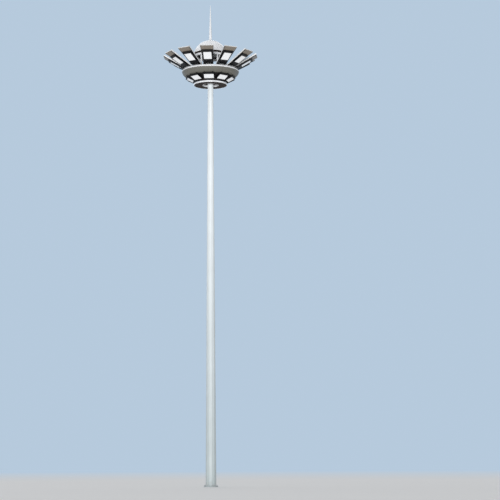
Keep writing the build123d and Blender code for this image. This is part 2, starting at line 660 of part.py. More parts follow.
def petal():
    """Folded tray: floor, two side flanges and a lower lip at the tip, with a hole for the lamp."""
    tray = extrude(petal_outline(0), PETAL_FLANGE)
    hollow = extrude(petal_outline(SHEET), PETAL_FLANGE)
    tray -= Pos(0, 0, SHEET) * hollow
    tray -= Pos(0, PETAL_LENGTH, PETAL_TIP_LIP + PETAL_FLANGE / 2) * Box(
        PETAL_TIP_WIDTH - 2 * SHEET, 4 * SHEET, PETAL_FLANGE)
    room = 2 * CUTOUT_CLEARANCE
    hole = slab(UPPER_BACK_WIDTH + room, UPPER_BACK_LENGTH + room, 4 * SHEET)
    tray -= Pos(0, upper_lamp_middle(), -SHEET) * hole
    return (petal_plane() * tray).solid()


def petal_bracket():
    """Folded wedge that carries the petal's root on the deck."""
    start = PETAL_ROOT_RADIUS
    foot_z = DECK_TOP_Z
    outer_z = foot_z + PETAL_RISE + (BRACKET_OUTER_RADIUS - start) * math.tan(PETAL_LEAN)
    side = Polyline((0, -start, foot_z), (0, -BRACKET_OUTER_RADIUS, foot_z),
                    (0, -BRACKET_OUTER_RADIUS, outer_z), (0, -start, foot_z + PETAL_RISE), close=True)
    wedge = extrude(make_face(side), BRACKET_WIDTH / 2, dir=(1, 0, 0), both=True)
    inner_width = BRACKET_WIDTH - 2 * BRACKET_WALL
    void = extrude(make_face(side), inner_width / 2, dir=(1, 0, 0), both=True)
    down = BRACKET_WALL / math.cos(PETAL_LEAN)
    wedge -= Pos(0, 0, -down) * void
    return wedge.solid()


def lens_opening(width, length):
    """Recess for the glass and, behind its ledge, the opening through the lamp's front wall."""
    window = slab(width - 2 * LENS_LEDGE, length - 2 * LENS_LEDGE, LAMP_FRONT)
    return slab(width, length, LENS_RECESS) + window


def lamp_cavity(width, length, depth):
    """Hollow inside a lamp's case, behind its front wall."""
    height = depth - LAMP_FRONT - LAMP_WALL
    hollow = slab(width - 2 * LAMP_WALL, length - 2 * LAMP_WALL, height, LAMP_CORNER - LAMP_WALL)
    return Pos(0, 0, LAMP_FRONT) * hollow


def upper_back(inset, height):
    """Drafted back of the upper floodlight, or with an inset the hollow in it."""
    outline = Rectangle(UPPER_BACK_WIDTH - 2 * inset, UPPER_BACK_LENGTH - 2 * inset)
    return extrude(outline, height, taper=UPPER_BACK_DRAFT)


def upper_lens_middle():
    return UPPER_LAMP_START + UPPER_LAMP_LENGTH - UPPER_LENS_MARGIN - UPPER_LENS_LENGTH / 2


def upper_lamp():
    """Hollow floodlight: its case under the petal, its back through the cut-out, with fins along it."""
    front = Pos(0, 0, -UPPER_LAMP_DEPTH)
    fin_floor = UPPER_BACK_HEIGHT - FIN_DEPTH
    case = front * slab(UPPER_LAMP_WIDTH, UPPER_LAMP_LENGTH, UPPER_LAMP_DEPTH, LAMP_CORNER)
    back = upper_back(0, UPPER_BACK_HEIGHT)
    for place in GridLocations(FIN_PITCH, 0, FIN_SLOTS, 1):
        back -= place * Pos(0, 0, fin_floor) * slab(FIN_SLOT_WIDTH, UPPER_LAMP_LENGTH, FIN_DEPTH)
    lamp = case + back
    lamp -= front * lamp_cavity(UPPER_LAMP_WIDTH, UPPER_LAMP_LENGTH, UPPER_LAMP_DEPTH)
    lamp -= Pos(0, 0, -LAMP_WALL) * upper_back(LAMP_WALL, fin_floor)
    lamp = Pos(0, upper_lamp_middle()) * lamp
    lamp -= front * Pos(0, upper_lens_middle()) * lens_opening(UPPER_LENS_WIDTH, UPPER_LENS_LENGTH)
    return (petal_plane() * lamp).solid()


def lens_glass(width, length):
    glass = slab(width - 2 * LENS_CLEARANCE, length - 2 * LENS_CLEARANCE, LENS_THICKNESS)
    return Pos(0, 0, LENS_RECESS - LENS_THICKNESS) * glass


def upper_lens():
    place = Pos(0, upper_lens_middle(), -UPPER_LAMP_DEPTH)
    return (petal_plane() * place * lens_glass(UPPER_LENS_WIDTH, UPPER_LENS_LENGTH)).solid()


def lower_lamp_plane():
    """Plane of the lower floodlight's face, parallel to the cone and centred on the glass."""
    along = LOWER_LAMP_MARGIN + LOWER_LENS_MARGIN + LOWER_LENS_LENGTH / 2
    radius = BAND_FOOT_RADIUS - along * math.cos(CONE_LEAN) + LOWER_LAMP_DEPTH * math.sin(CONE_LEAN)
    z = BAND_FOOT_Z - along * math.sin(CONE_LEAN) - LOWER_LAMP_DEPTH * math.cos(CONE_LEAN)
    return slope_plane(radius, z, CONE_SLOPE)


def lower_lamp():
    """Hollow floodlight whose back is shaped to the cone it hangs on."""
    middle = Pos(0, LOWER_LENS_MARGIN + LOWER_LENS_LENGTH / 2 - LOWER_LAMP_LENGTH / 2)
    lamp = middle * slab(LOWER_LAMP_WIDTH, LOWER_LAMP_LENGTH, 2 * LOWER_LAMP_DEPTH, LAMP_CORNER)
    lamp -= middle * lamp_cavity(LOWER_LAMP_WIDTH, LOWER_LAMP_LENGTH, LOWER_LAMP_DEPTH)
    lamp -= lens_opening(LOWER_LENS_WIDTH, LOWER_LENS_LENGTH)
    gap = RUNNING_GAP / math.cos(CONE_LEAN)
    far = 2 * SAUCER_RADIUS
    above_cone = spun([(0, cone_z(0) - gap), (far, cone_z(far) - gap), (0, cone_z(far))])
    return ((lower_lamp_plane() * lamp) - above_cone).solid()


def lower_lens():
    return (lower_lamp_plane() * lens_glass(LOWER_LENS_WIDTH, LOWER_LENS_LENGTH)).solid()


save(base_flange(), "base_flange")
lower_section, middle_section, upper_section = mast_sections()
save(lower_section, "mast_lower")
save(middle_section, "mast_middle")
save(upper_section, "mast_upper")
save(door_frame(), "door_frame")
save(door_leaf(), "door_leaf")
save(door_hinges(), "door_hinges")
save(door_locks(), "door_locks")

save(head_plate(), "head_plate")
save(head_arms(), "head_arms")
save(dock_buffers(), "dock_buffers")
save(head_pulleys(), "head_pulleys")
save(pulley_cheeks(), "pulley_cheeks")
save(hoist_ropes(), "hoist_ropes")
save(dome_shell(), "dome_shell")
save(dome_skirt(), "dome_skirt")
save(finial(), "finial")
save(finial_collar(), "finial_collar")

save(crown_ring(), "crown_ring")
save(crown_posts(), "crown_posts")
save(saucer_rim(), "saucer_rim")
save(saucer_band(), "saucer_band")
save(saucer_cone(), "saucer_cone")
save(saucer_neck(), "saucer_neck")
save(lower_rim(), "lower_rim")
save(underside_plate(), "underside_plate")
save(passage_tube(), "passage_tube")
save(saucer_deck(), "saucer_deck")
guide_rollers, guide_forks = guide_parts()
save(guide_rollers, "guide_rollers")
save(guide_forks, "guide_forks")
save(rope_anchors(), "rope_anchors")

for number, tray in enumerate(around(petal(), PETAL_COUNT), start=1):
    save(tray, f"petal_{number:02d}")
save(around(petal_bracket(), PETAL_COUNT), "petal_brackets")
save(around(upper_lamp(), PETAL_COUNT), "upper_lamp_bodies")
save(around(upper_lens(), PETAL_COUNT), "upper_lamp_lenses")
save(around(lower_lamp(), LOWER_LAMP_COUNT), "lower_lamp_bodies")
save(around(lower_lens(), LOWER_LAMP_COUNT), "lower_lamp_lenses")
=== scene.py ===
"""High mast floodlight tower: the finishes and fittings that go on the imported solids.

Lengths are in metres in the frame of the solids. The mast stands on the origin, +Z is up,
and one petal and one lower floodlight point along -Y.
"""
import json
import math
from contextlib import contextmanager

import bmesh
import bpy
from bpy.props import FloatProperty, FloatVectorProperty, IntProperty, PointerProperty
from mathutils import Matrix, Vector


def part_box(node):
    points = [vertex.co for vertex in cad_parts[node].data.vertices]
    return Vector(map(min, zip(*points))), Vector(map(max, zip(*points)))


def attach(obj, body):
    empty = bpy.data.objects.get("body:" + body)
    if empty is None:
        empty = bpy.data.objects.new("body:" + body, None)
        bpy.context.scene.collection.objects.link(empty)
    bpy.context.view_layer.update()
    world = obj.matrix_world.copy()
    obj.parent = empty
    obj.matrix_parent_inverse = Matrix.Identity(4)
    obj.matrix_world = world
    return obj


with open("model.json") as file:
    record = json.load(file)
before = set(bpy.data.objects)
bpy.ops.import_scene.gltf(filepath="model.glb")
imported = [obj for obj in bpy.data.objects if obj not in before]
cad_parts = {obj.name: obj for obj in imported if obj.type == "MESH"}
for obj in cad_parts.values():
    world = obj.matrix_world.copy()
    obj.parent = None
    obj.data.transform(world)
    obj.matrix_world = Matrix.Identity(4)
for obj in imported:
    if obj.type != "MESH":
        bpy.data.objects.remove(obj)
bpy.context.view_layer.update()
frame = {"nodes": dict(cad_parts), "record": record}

bl_info = {
    "name": "High mast floodlight tower",
    "version": (1, 0, 0),
    "blender": (4, 5, 0),
    "location": "3D View > Sidebar > Floodlight tower",
    "description": "Finishes and fittings for a high mast floodlight tower",
    "category": "Object",
}

SOLIDS = frame["nodes"]
PETALS = 12
LOWER_LAMPS = 9
TOLERANCE = 1e-5


def top(node):
    """Height of a solid's top."""
    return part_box(node)[1].z


def bottom(node):
    """Height of a solid's underside."""
    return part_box(node)[0].z


# Colours and sizes that a user may change

def colour(name, about, value):
    return FloatVectorProperty(name=name, description=about, subtype="COLOR", size=3, min=0, max=1,
                               default=value)


def length(name, about, value):
    return FloatProperty(name=name, description=about, subtype="DISTANCE", unit="LENGTH", default=value)


def angle(name, about, degrees):
    return FloatProperty(name=name, description=about, subtype="ANGLE", default=math.radians(degrees))


def number(name, about, value):
    return FloatProperty(name=name, description=about, default=value)


def quantity(name, about, value, least=3):
    return IntProperty(name=name, description=about, default=value, min=least)


class TowerColours(bpy.types.PropertyGroup):
    """Colours of the finishes."""
    mast: colour("Mast", "Paint of the shaft", (0.87, 0.925, 0.955))
    # Painted shade: the darker, bluer paint that the shaft blends into towards its foot.
    mast_foot_shade: colour("Mast foot", "Paint of the shaft low down, under road film", (0.52, 0.59, 0.605))
    white: colour("White", "Paint of the dome, crown, posts and rims", (0.88, 0.89, 0.91))
    saucer: colour("Saucer", "Paint of the saucer's side", (0.150, 0.146, 0.126))
    petal: colour("Petal skin", "Paint under the petals' outer ends", (0.25, 0.215, 0.175))
    petal_edge: colour("Petal edge", "Paint of the petals' flanges and trays", (0.84, 0.84, 0.84))
    lamp: colour("Lamp", "Powder coat of the floodlights", (0.006, 0.006, 0.007))
    glass: colour("Glass", "Frosted glass of the floodlights", (0.80, 0.81, 0.82))
    # Painted shade: a near-black that stands in for the shade under the saucer and inside the hole.
    shadow: colour("Underside", "Dark paint under the saucer", (0.020, 0.014, 0.012))
    zinc: colour("Zinc", "Galvanised steel", (0.50, 0.52, 0.53))
    steel: colour("Steel", "Stainless steel", (0.62, 0.63, 0.64))
    rubber: colour("Rubber", "Buffers and rollers", (0.02, 0.02, 0.02))


class BaseSizes(bpy.types.PropertyGroup):
    """Sizes of the shaft and of the fittings at its foot."""
    bolts: quantity("Anchor bolts", "Number of anchor bolts", 12)
    bolt_circle: length("Bolt circle", "Radius of the anchor bolt circle", 0.388)
    stud: length("Stud", "Radius of an anchor stud", 0.018)
    stud_height: length("Stud height", "Height of a stud above the flange", 0.105)
    nut: length("Nut", "Radius of a nut across its corners", 0.032)
    shaft_sides: quantity("Shaft sides", "Sides of the shaft", 12)
    shaft_width: length("Shaft width", "Width of the shaft across flats at the flange", 0.635)
    shaft_taper: number("Taper", "Width lost for each metre of height", 0.0127)
    weld: length("Weld", "Leg of the weld at the flange", 0.014)
    middle_width: length("Middle width", "Width of the middle length at its foot", 0.531852)
    upper_width: length("Upper width", "Width of the upper length at its foot", 0.427517)
    door_height: length("Door height", "Height of the middle of the door", 0.900)
    door_width: length("Door width", "Width of the door leaf", 0.274)
    door_span: length("Door length", "Height of the door leaf", 0.664)
    door_corner: length("Door corner", "Corner radius of the door leaf", 0.082)


class HeadSizes(bpy.types.PropertyGroup):
    """Sizes of the rope head, dome and crown."""
    pulleys: quantity("Pulleys", "Number of pulleys", 3, 1)
    pulley_circle: length("Pulley circle", "Distance of a pulley's pin from the axis", 0.341074)
    pulley_height: length("Pulley height", "Height of the pulley pins", 27.082926)
    pulley_pack: length("Pulley width", "Half width over a pulley's cheeks", 0.0273)
    arms: quantity("Arms", "Number of dome arms", 6)
    arm_width: length("Arm width", "Width of a dome arm", 0.070)
    arm_height: length("Arm height", "Height of a dome arm", 0.080)
    dome_radius: length("Dome radius", "Radius of the dome and the crown ring", 1.050)
    posts: quantity("Posts", "Number of crown posts", 12)
    post_radius: length("Post radius", "Distance of a post from the axis", 0.990)
    post_foot: length("Post foot", "Width of a post's foot plate", 0.120)


class PetalSizes(bpy.types.PropertyGroup):
    """Place and sizes of the petals and their floodlights."""
    slope: angle("Slope", "Rise of a petal", 29.5)
    root_radius: length("Root radius", "Distance of a petal's root from the axis", 1.440)
    root_height: length("Root height", "Height of a petal's root", 25.845)
    span: length("Length", "Length of a petal along its slope", 1.700)
    root_width: length("Root width", "Width of a petal at its root", 0.580)
    tip_width: length("Tip width", "Width of a petal at its tip", 0.820)
    sheet: length("Sheet", "Thickness of a petal's sheet", 0.005)
    hem: length("Hem", "Height of the dark strip along a petal's lower edge", 0.034)
    dark_radius: length("Dark radius", "Distance from the axis where the dark skin ends", 2.620)
    lamp_start: length("Lamp start", "Distance from the root to the floodlight", 0.240)
    lamp_length: length("Lamp length", "Length of an upper floodlight", 1.100)
    lamp_width: length("Lamp width", "Width of an upper floodlight", 0.580)
    lamp_depth: length("Lamp depth", "Depth of an upper floodlight under the petal", 0.070)
    glass_width: length("Glass width", "Width of an upper glass", 0.500)
    glass_length: length("Glass length", "Length of an upper glass", 0.630)
    glass_margin: length("Glass margin", "From the floodlight's outer end to its glass", 0.145)


class SaucerSizes(bpy.types.PropertyGroup):
    """Place and sizes of the lower floodlights and of the saucer's fittings."""
    cone_slope: angle("Cone", "Slope of the cone", 26.0)
    glass_radius: length("Glass radius", "Distance of a lower glass from the axis", 1.2696)
    glass_height: length("Glass height", "Height of the middle of a lower glass", 25.1602)
    glass_width: length("Glass width", "Width of a lower glass", 0.610)
    glass_length: length("Glass length", "Length of a lower glass along the slope", 0.410)
    lamp_end: length("Lamp end", "From the glass's middle to the floodlight's outer end", 0.295)
    lamp_depth: length("Lamp depth", "Depth of a lower floodlight", 0.100)
    rim_radius: length("Rim radius", "Middle radius of the white edge strip", 1.7725)
    rim_height: length("Rim height", "Middle height of the white edge strip", 25.7675)
    passage_radius: length("Passage", "Radius of the hole for the shaft", 0.500)
    collar_height: length("White collar", "Height of the white paint in the hole", 0.115)
    white_line: length("White line", "Depth of the white line along the top of the grey side", 0.045)
    white_rim: length("White rim", "Height of the white part of the lower rim", 0.090)
    grey_radius: length("Grey radius", "Distance from the axis beyond which the cone is grey", 1.475)
    guide_height: length("Guide height", "Height of the guide rollers' axles", 25.448758)
    guide_radius: length("Guide radius", "Distance of a roller's axle from the axis", 0.438)
    anchor_radius: length("Anchor radius", "Distance of a rope anchor from the axis", 0.560)


class StageLook(bpy.types.PropertyGroup):
    """Camera, lights, floor and backdrop."""
    distance: length("Distance", "Camera's distance from the mast", 99.8)
    eye: length("Eye height", "Camera's height above the ground", 1.57)
    side: angle("Side", "Camera's turn to the right", 4.5)
    pitch: angle("Pitch", "Camera's tilt", 7.36855)
    yaw: angle("Yaw", "Turn off the mast", 1.39305)
    roll: angle("Roll", "Camera's roll", -0.25011)
    lens: number("Lens", "Focal length in millimetres", 117.313)
    sky: number("Sky light", "Strength of the soft light all round", 0.27)
    key: number("Key light", "Strength of the soft key light", 2.0)
    key_side: angle("Key side", "Key light's turn to the left", 2.0)
    key_height: angle("Key height", "Key light's height, under the horizon to light the underside", -6.0)
    key_spread: angle("Key spread", "Width of the key light as seen from the mast", 16.0)
    back: number("Back light", "Strength of the soft light from behind", 1.5)
    back_side: angle("Back side", "Back light's turn to the left", 160.0)
    back_height: angle("Back height", "Back light's height", 50.0)
    back_spread: angle("Back spread", "Width of the back light as seen from the mast", 80.0)
    floor: colour("Floor", "Colour of the floor", (0.88, 0.89, 0.90))
    backdrop: colour("Backdrop", "Colour of the backdrop", (0.47, 0.59, 0.72))


# Shader maths

def forward(operation):
    return lambda self, other: self.math(operation, self, other)


def reflected(operation):
    return lambda self, other: self.math(operation, other, self)


def single(operation):
    return lambda self: self.math(operation, self)


class Signal:
    """One output in a node tree. Arithmetic on it adds Math nodes."""

    def __init__(self, tree, output):
        self.tree = tree
        self.output = output

    def math(self, operation, *values, clamp=False):
        made = self.tree.nodes.new("ShaderNodeMath")
        made.operation = operation
        made.use_clamp = clamp
        for socket, value in zip(made.inputs, values):
            feed(self.tree, socket, value)
        return Signal(self.tree, made.outputs[0])

    __add__, __radd__ = forward("ADD"), reflected("ADD")
    __sub__, __rsub__ = forward("SUBTRACT"), reflected("SUBTRACT")
    __mul__, __rmul__ = forward("MULTIPLY"), reflected("MULTIPLY")
    __truediv__, __rtruediv__ = forward("DIVIDE"), reflected("DIVIDE")
    __abs__ = single("ABSOLUTE")
    sin, cos, root, fraction = single("SINE"), single("COSINE"), single("SQRT"), single("FRACT")
    largest = forward("MAXIMUM")

    def __neg__(self):
        return self * -1.0

    def ramp(self, low, high):
        """0 at low and 1 at high, held beyond them; low may be the larger."""
        return self.math("DIVIDE", self - low, high - low, clamp=True)


def feed(tree, socket, value):
    """Links a signal to a socket, or sets the socket to a plain value."""
    if isinstance(value, Signal):
        tree.links.new(value.output, socket)
    elif socket.type == "RGBA":
        socket.default_value = (*value, 1.0)
    else:
        socket.default_value = value


def times(tone, factor):
    return tuple(channel * factor for channel in tone)


class Graph:
    """A node tree with one method that adds any node."""

    def __init__(self, tree):
        self.tree = tree

    def node(self, kind, settings=None, inputs=None, output=0):
        """Adds a node, sets it up, then fills its sockets, and gives one of its outputs."""
        made = self.tree.nodes.new("ShaderNode" + kind)
        for name, value in (settings or {}).items():
            setattr(made, name, value)
        for name, value in (inputs or {}).items():
            feed(self.tree, made.inputs[name], value)
        return Signal(self.tree, made.outputs[output])

    def mixed(self, first, second, share):
        inputs = {0: share, 6: first, 7: second}
        return self.node("Mix", {"data_type": "RGBA"}, inputs, 2)

    def shaded(self, tone, factor, share):
        """A tone that goes to a darker or lighter one by a share."""
        return self.mixed(tone, times(tone, factor), share)

    def background_rays(self):
        """1 for the rays that show the background: seen, reflected or passed through."""
        seen = self.node("LightPath", output="Is Camera Ray")
        rays = seen.output.node.outputs
        mirrored = Signal(self.tree, rays["Is Glossy Ray"])
        passed = Signal(self.tree, rays["Is Transmission Ray"])
        return seen.largest(mirrored).largest(passed)


class Finish(Graph):
    """A procedural material."""

    def __init__(self, name, constants):
        self.material = bpy.data.materials.new(name)
        self.material.use_nodes = True
        super().__init__(self.material.node_tree)
        self.shader = self.tree.nodes["Principled BSDF"]
        for socket, value in constants.items():
            self.use(socket, value)
        self.place = self.node("TexCoord", output="Object")
        self.x, self.y, self.z = self.parts(self.place)

    def parts(self, vector):
        """A vector's X, Y and Z."""
        outputs = self.node("SeparateXYZ", inputs={0: vector}).output.node.outputs
        return [Signal(self.tree, output) for output in outputs]

    def stretched(self, scale):
        """Object coordinates multiplied along each axis."""
        return self.node("VectorMath", {"operation": "MULTIPLY"}, {0: self.place, 1: scale})

    def noise(self, scale, detail, where=None):
        inputs = {"Vector": where or self.place, "Scale": scale, "Detail": detail}
        return self.node("TexNoise", inputs=inputs)

    def cells(self, scale, feature, output):
        inputs = {"Vector": self.place, "Scale": scale}
        return self.node("TexVoronoi", {"feature": feature}, inputs, output)

    def radius(self):
        """Distance from the mast axis."""
        return (self.x * self.x + self.y * self.y).root()

    def laps(self, count):
        """Turn about the mast axis counted in sectors: a half towards -Y, and eight laps on."""
        turn = self.x.math("ARCTAN2", self.x, -self.y)
        return turn / (2 * math.pi / count) + 0.5 + 8 * count

    def sector(self, count):
        """Turn from the nearest of evenly spaced directions, in radians."""
        return (self.laps(count).fraction() - 0.5) * (2 * math.pi / count)

    def outward(self, count):
        """Distance from the mast axis along the nearest of evenly spaced directions."""
        return self.radius() * self.sector(count).cos()

    def seams(self, width):
        """1 on lines that run out from the axis, one towards the middle of each petal."""
        return (abs(self.sector(PETALS)) * self.radius()).ramp(width, width / 2)

    def facing(self):
        """Upward share of the surface's normal."""
        return self.parts(self.node("NewGeometry", output="Normal"))[2]

    def use(self, socket, value):
        feed(self.tree, self.shader.inputs[socket], value)

    def surface(self, tone, roughness, height, depth, strength):
        """Feeds colour, roughness and bump to the shader, and gives the material."""
        self.use("Base Color", tone)
        self.use("Roughness", roughness)
        bump = {"Height": height, "Distance": depth, "Strength": strength}
        self.use("Normal", self.node("Bump", inputs=bump))
        return self.material


# Finishes

def mast_paint(colours):
    """Satin paint on galvanised steel: rain streaks, painted shade that darkens and blues the shaft from 18
    m down to its foot, splashed dust at the foot.
    """
    paint = Finish("mast_paint", {"Specular IOR Level": 0.3})
    streaks = paint.noise(1.0, 5.0, paint.stretched((16.0, 16.0, 0.22)))
    patches = paint.noise(0.9, 3.0)
    fine = paint.noise(160.0, 2.0)
    # Painted shade: from 18 m down the paint blends into the darker, bluer foot colour.
    painted_foot_shade = paint.z.ramp(18.0, 0.0)
    splash = paint.z.ramp(0.85, 0.04) * paint.noise(6.0, 6.0).ramp(0.35, 0.75)
    wear = streaks.ramp(0.38, 0.72) * 0.55 + patches.ramp(0.35, 0.7) * 0.45
    clean = paint.mixed(colours.mast, colours.mast_foot_shade, painted_foot_shade)
    worn = paint.mixed(times(colours.mast, 0.90), times(colours.mast_foot_shade, 0.86), painted_foot_shade)
    dust = (0.42, 0.40, 0.36)
    tone = paint.mixed(paint.mixed(clean, worn, wear), dust, splash * 0.45)
    roughness = 0.38 + wear * 0.14 + splash * 0.3
    return paint.surface(tone, roughness, fine + streaks * 2.0, 0.0008, 0.35)


def white_paint(colours):
    """Gloss white sheet with a little drift in tone, and dirt that has run down it."""
    paint = Finish("white_paint", {"Coat Roughness": 0.18, "Coat Weight": 0.3})
    patches = paint.noise(2.2, 4.0)
    runs = paint.noise(1.0, 4.0, paint.stretched((22.0, 22.0, 1.1)))
    dirt = runs.ramp(0.52, 0.78) * 0.5 + patches.ramp(0.45, 0.75) * 0.4
    tone = paint.shaded(colours.white, 0.86, dirt)
    return paint.surface(tone, 0.26 + dirt * 0.2, paint.noise(220.0, 2.0), 0.0004, 0.3)


def dome_paint(colours):
    """White paint on the dome's pressed gores, with their seams."""
    paint = Finish("dome_paint", {"Coat Roughness": 0.3, "Coat Weight": 0.1, "Specular IOR Level": 0.35})
    seams = paint.seams(0.006)
    patches = paint.noise(1.7, 4.0)
    runs = paint.noise(1.0, 4.0, paint.stretched((14.0, 14.0, 2.2)))
    dirt = runs.ramp(0.5, 0.8) * 0.35 + patches.ramp(0.45, 0.75) * 0.35
    body = paint.shaded(colours.white, 0.86, dirt)
    tone = paint.mixed(body, times(colours.white, 0.6), seams * 0.6)
    roughness = 0.36 + dirt * 0.2 + seams * 0.2
    height = 1.0 - seams + paint.noise(180.0, 2.0) * 0.08
    return paint.surface(tone, roughness, height, 0.003, 0.5)


def passage_paint(colours):
    """The hole for the shaft: white at its mouth, and painted shade in near-black above it."""
    sizes = bpy.context.scene.saucer_sizes
    edge = bottom("passage_tube") + sizes.collar_height
    paint = Finish("passage_paint", {"Specular IOR Level": 0.3})
    white = (paint.z + paint.noise(5.0, 3.0) * 0.006).ramp(edge + 0.004, edge)
    dirt = paint.noise(3.0, 4.0).ramp(0.45, 0.75)
    pale = paint.shaded(colours.white, 0.84, dirt * 0.5)
    dust = (0.06, 0.045, 0.038)
    # Painted shade: above the white mouth the hole takes the near-black underside colour.
    tone = paint.mixed(paint.mixed(colours.shadow, dust, dirt * 0.6), pale, white)
    roughness = 0.58 - white * 0.26 + dirt * 0.12
    return paint.surface(tone, roughness, paint.noise(160.0, 2.0), 0.0005, 0.35)


def saucer_paint(colours):
    """Grey paint on rolled panels: butt joints, faint oil canning, dust, a white line along the top."""
    sizes = bpy.context.scene.saucer_sizes
    line = top("saucer_band") - sizes.white_line
    outside = sizes.rim_radius - 0.06
    paint = Finish("saucer_paint", {"Coat Roughness": 0.3, "Coat Weight": 0.1})
    seams = paint.seams(0.005)
    laps = paint.laps(PETALS)
    panel = laps - laps.fraction()
    drift = (panel * 12.9898).sin() * 0.5 + 0.5
    canning = paint.noise(1.6, 2.0)
    dust = paint.noise(7.0, 6.0).ramp(0.42, 0.75) * 0.5 + paint.noise(60.0, 3.0).ramp(0.5, 0.8) * 0.25
    grey = paint.shaded(colours.saucer, 1.16, drift * 0.5 + dust)
    upper = paint.z.ramp(line, line + 0.003) * paint.radius().ramp(outside, outside + 0.01)
    body = paint.mixed(grey, paint.shaded(colours.white, 0.84, dust), upper)
    tone = paint.mixed(body, times(colours.saucer, 0.35), seams * 0.8)
    height = canning * 6.0 - seams + paint.noise(200.0, 2.0) * 0.1
    return paint.surface(tone, 0.42 + dust * 0.25, height, 0.002, 0.5)


def petal_paint(colours):
    """Under each petal: dark round the floodlight, warm grey beyond it; flanges and tray are light."""
    sizes = bpy.context.scene.petal_sizes
    paint = Finish("petal_paint", {"Coat Roughness": 0.3, "Coat Weight": 0.12})
    under = paint.facing().ramp(-0.55, -0.75)
    near = paint.outward(PETALS).ramp(sizes.dark_radius + 0.004, sizes.dark_radius)
    patches = paint.noise(3.0, 4.0)
    grit = paint.noise(90.0, 3.0)
    dirt = patches.ramp(0.4, 0.72) * 0.5 + grit.ramp(0.45, 0.8) * 0.2
    outer = paint.shaded(colours.petal, 0.78, dirt)
    dust = (0.045, 0.040, 0.036)
    inner = paint.mixed(colours.lamp, dust, dirt)
    edge = paint.shaded(colours.petal_edge, 0.84, dirt)
    tone = paint.mixed(edge, paint.mixed(outer, inner, near), under)
    roughness = 0.36 + dirt * 0.25 + near * under * 0.15
    return paint.surface(tone, roughness, paint.noise(1.8, 2.0) * 4.0 + grit * 0.15, 0.002, 0.4)


def lamp_coat(colours):
    """Black powder coat: a fine leathery skin, greyed a little where dust lies."""
    coat = Finish("lamp_coat", {"Specular IOR Level": 0.2})
    skin = coat.cells(700.0, "SMOOTH_F1", "Distance")
    dust = coat.facing().ramp(0.2, 0.95) * coat.noise(9.0, 5.0).ramp(0.3, 0.7)
    rubbed = coat.noise(24.0, 4.0).ramp(0.6, 0.75)
    tone = coat.mixed(colours.lamp, (0.12, 0.115, 0.105), dust * 0.35 + rubbed * 0.05)
    return coat.surface(tone, 0.46 + dust * 0.4 - rubbed * 0.06, skin, 0.0006, 0.5)


def lamp_glass(colours, count=PETALS):
    """Bright prismatic floodlight glass: rows of small pillow lenses over a pale reflector, and a painted
    glow though the floodlights are unlit.
    """
    # Painted glow: the unlit glass is given a weak emission.
    glass = Finish("lamp_glass", {"IOR": 1.5, "Coat Weight": 0.6, "Coat Roughness": 0.06,
                                  "Emission Strength": 0.25})
    column, row = 0.025, 0.022
    out = glass.outward(count)
    across = (glass.radius() * glass.radius() - out * out).largest(0.0).root()
    pillow = abs((across * (math.pi / column)).cos()) * abs((out * (math.pi / row)).sin())
    edge = pillow.ramp(0.30, 0.0)
    # Painted glow: the emitted light is whiter in patches.
    glow = glass.noise(4.0, 2.0).ramp(0.25, 0.75)
    glass.use("Emission Color", glass.mixed((0.86, 0.87, 0.88), (1.0, 1.0, 1.0), glow))
    tone = glass.mixed(colours.glass, (0.56, 0.58, 0.62), edge * 0.5)
    return glass.surface(tone, 0.16 + edge * 0.2, pillow, 0.003, 0.4)


def rim_paint(colours):
    """The lower rim: white, with a band of painted shade in black along its top."""
    sizes = bpy.context.scene.saucer_sizes
    edge = bottom("lower_rim") + sizes.white_rim
    paint = Finish("rim_paint", {"Coat Roughness": 0.2, "Coat Weight": 0.25})
    # Painted shade: the rim above its white part is painted black.
    dark = paint.z.ramp(edge, edge + 0.003)
    dirt = paint.noise(3.0, 4.0).ramp(0.45, 0.75)
    tone = paint.mixed(paint.shaded(colours.white, 0.84, dirt * 0.6), colours.lamp, dark)
    roughness = 0.28 + dirt * 0.15 + dark * 0.2
    return paint.surface(tone, roughness, paint.noise(180.0, 2.0), 0.0005, 0.3)


def cone_paint(colours):
    """The cone round the lower floodlights: painted shade in black between them, with the saucer's grey
    along its outer edge.
    """
    sizes = bpy.context.scene.saucer_sizes
    paint = Finish("cone_paint", {"Specular IOR Level": 0.2})
    outer = paint.radius().ramp(sizes.grey_radius, sizes.grey_radius + 0.003)
    seams = paint.seams(0.004)
    dust = paint.noise(5.0, 5.0).ramp(0.42, 0.75)
    # Painted shade: black where shade falls between the lower floodlights.
    black = paint.mixed(colours.lamp, (0.030, 0.024, 0.020), dust * 0.6)
    grey = paint.shaded(colours.saucer, 1.16, dust * 0.5)
    tone = paint.mixed(paint.mixed(black, grey, outer), (0.004, 0.004, 0.004), seams * 0.7)
    return paint.surface(tone, 0.5 + dust * 0.2, paint.noise(140.0, 3.0) - seams * 4.0, 0.0006, 0.4)


def underside_paint(colours):
    """Dark brownish paint under the saucer that is painted shade, matt and dusty, with panel joints."""
    paint = Finish("underside_paint", {"Specular IOR Level": 0.2})
    seams = paint.seams(0.004)
    patches = paint.noise(3.5, 5.0).ramp(0.38, 0.7)
    # Painted shade: the near-black base colour stands in for the shade beneath the saucer.
    body = paint.mixed(colours.shadow, (0.070, 0.046, 0.036), patches * 0.6)
    tone = paint.mixed(body, (0.008, 0.006, 0.005), seams * 0.7)
    return paint.surface(tone, 0.62 + patches * 0.2, paint.noise(120.0, 3.0) - seams * 4.0, 0.0006, 0.4)


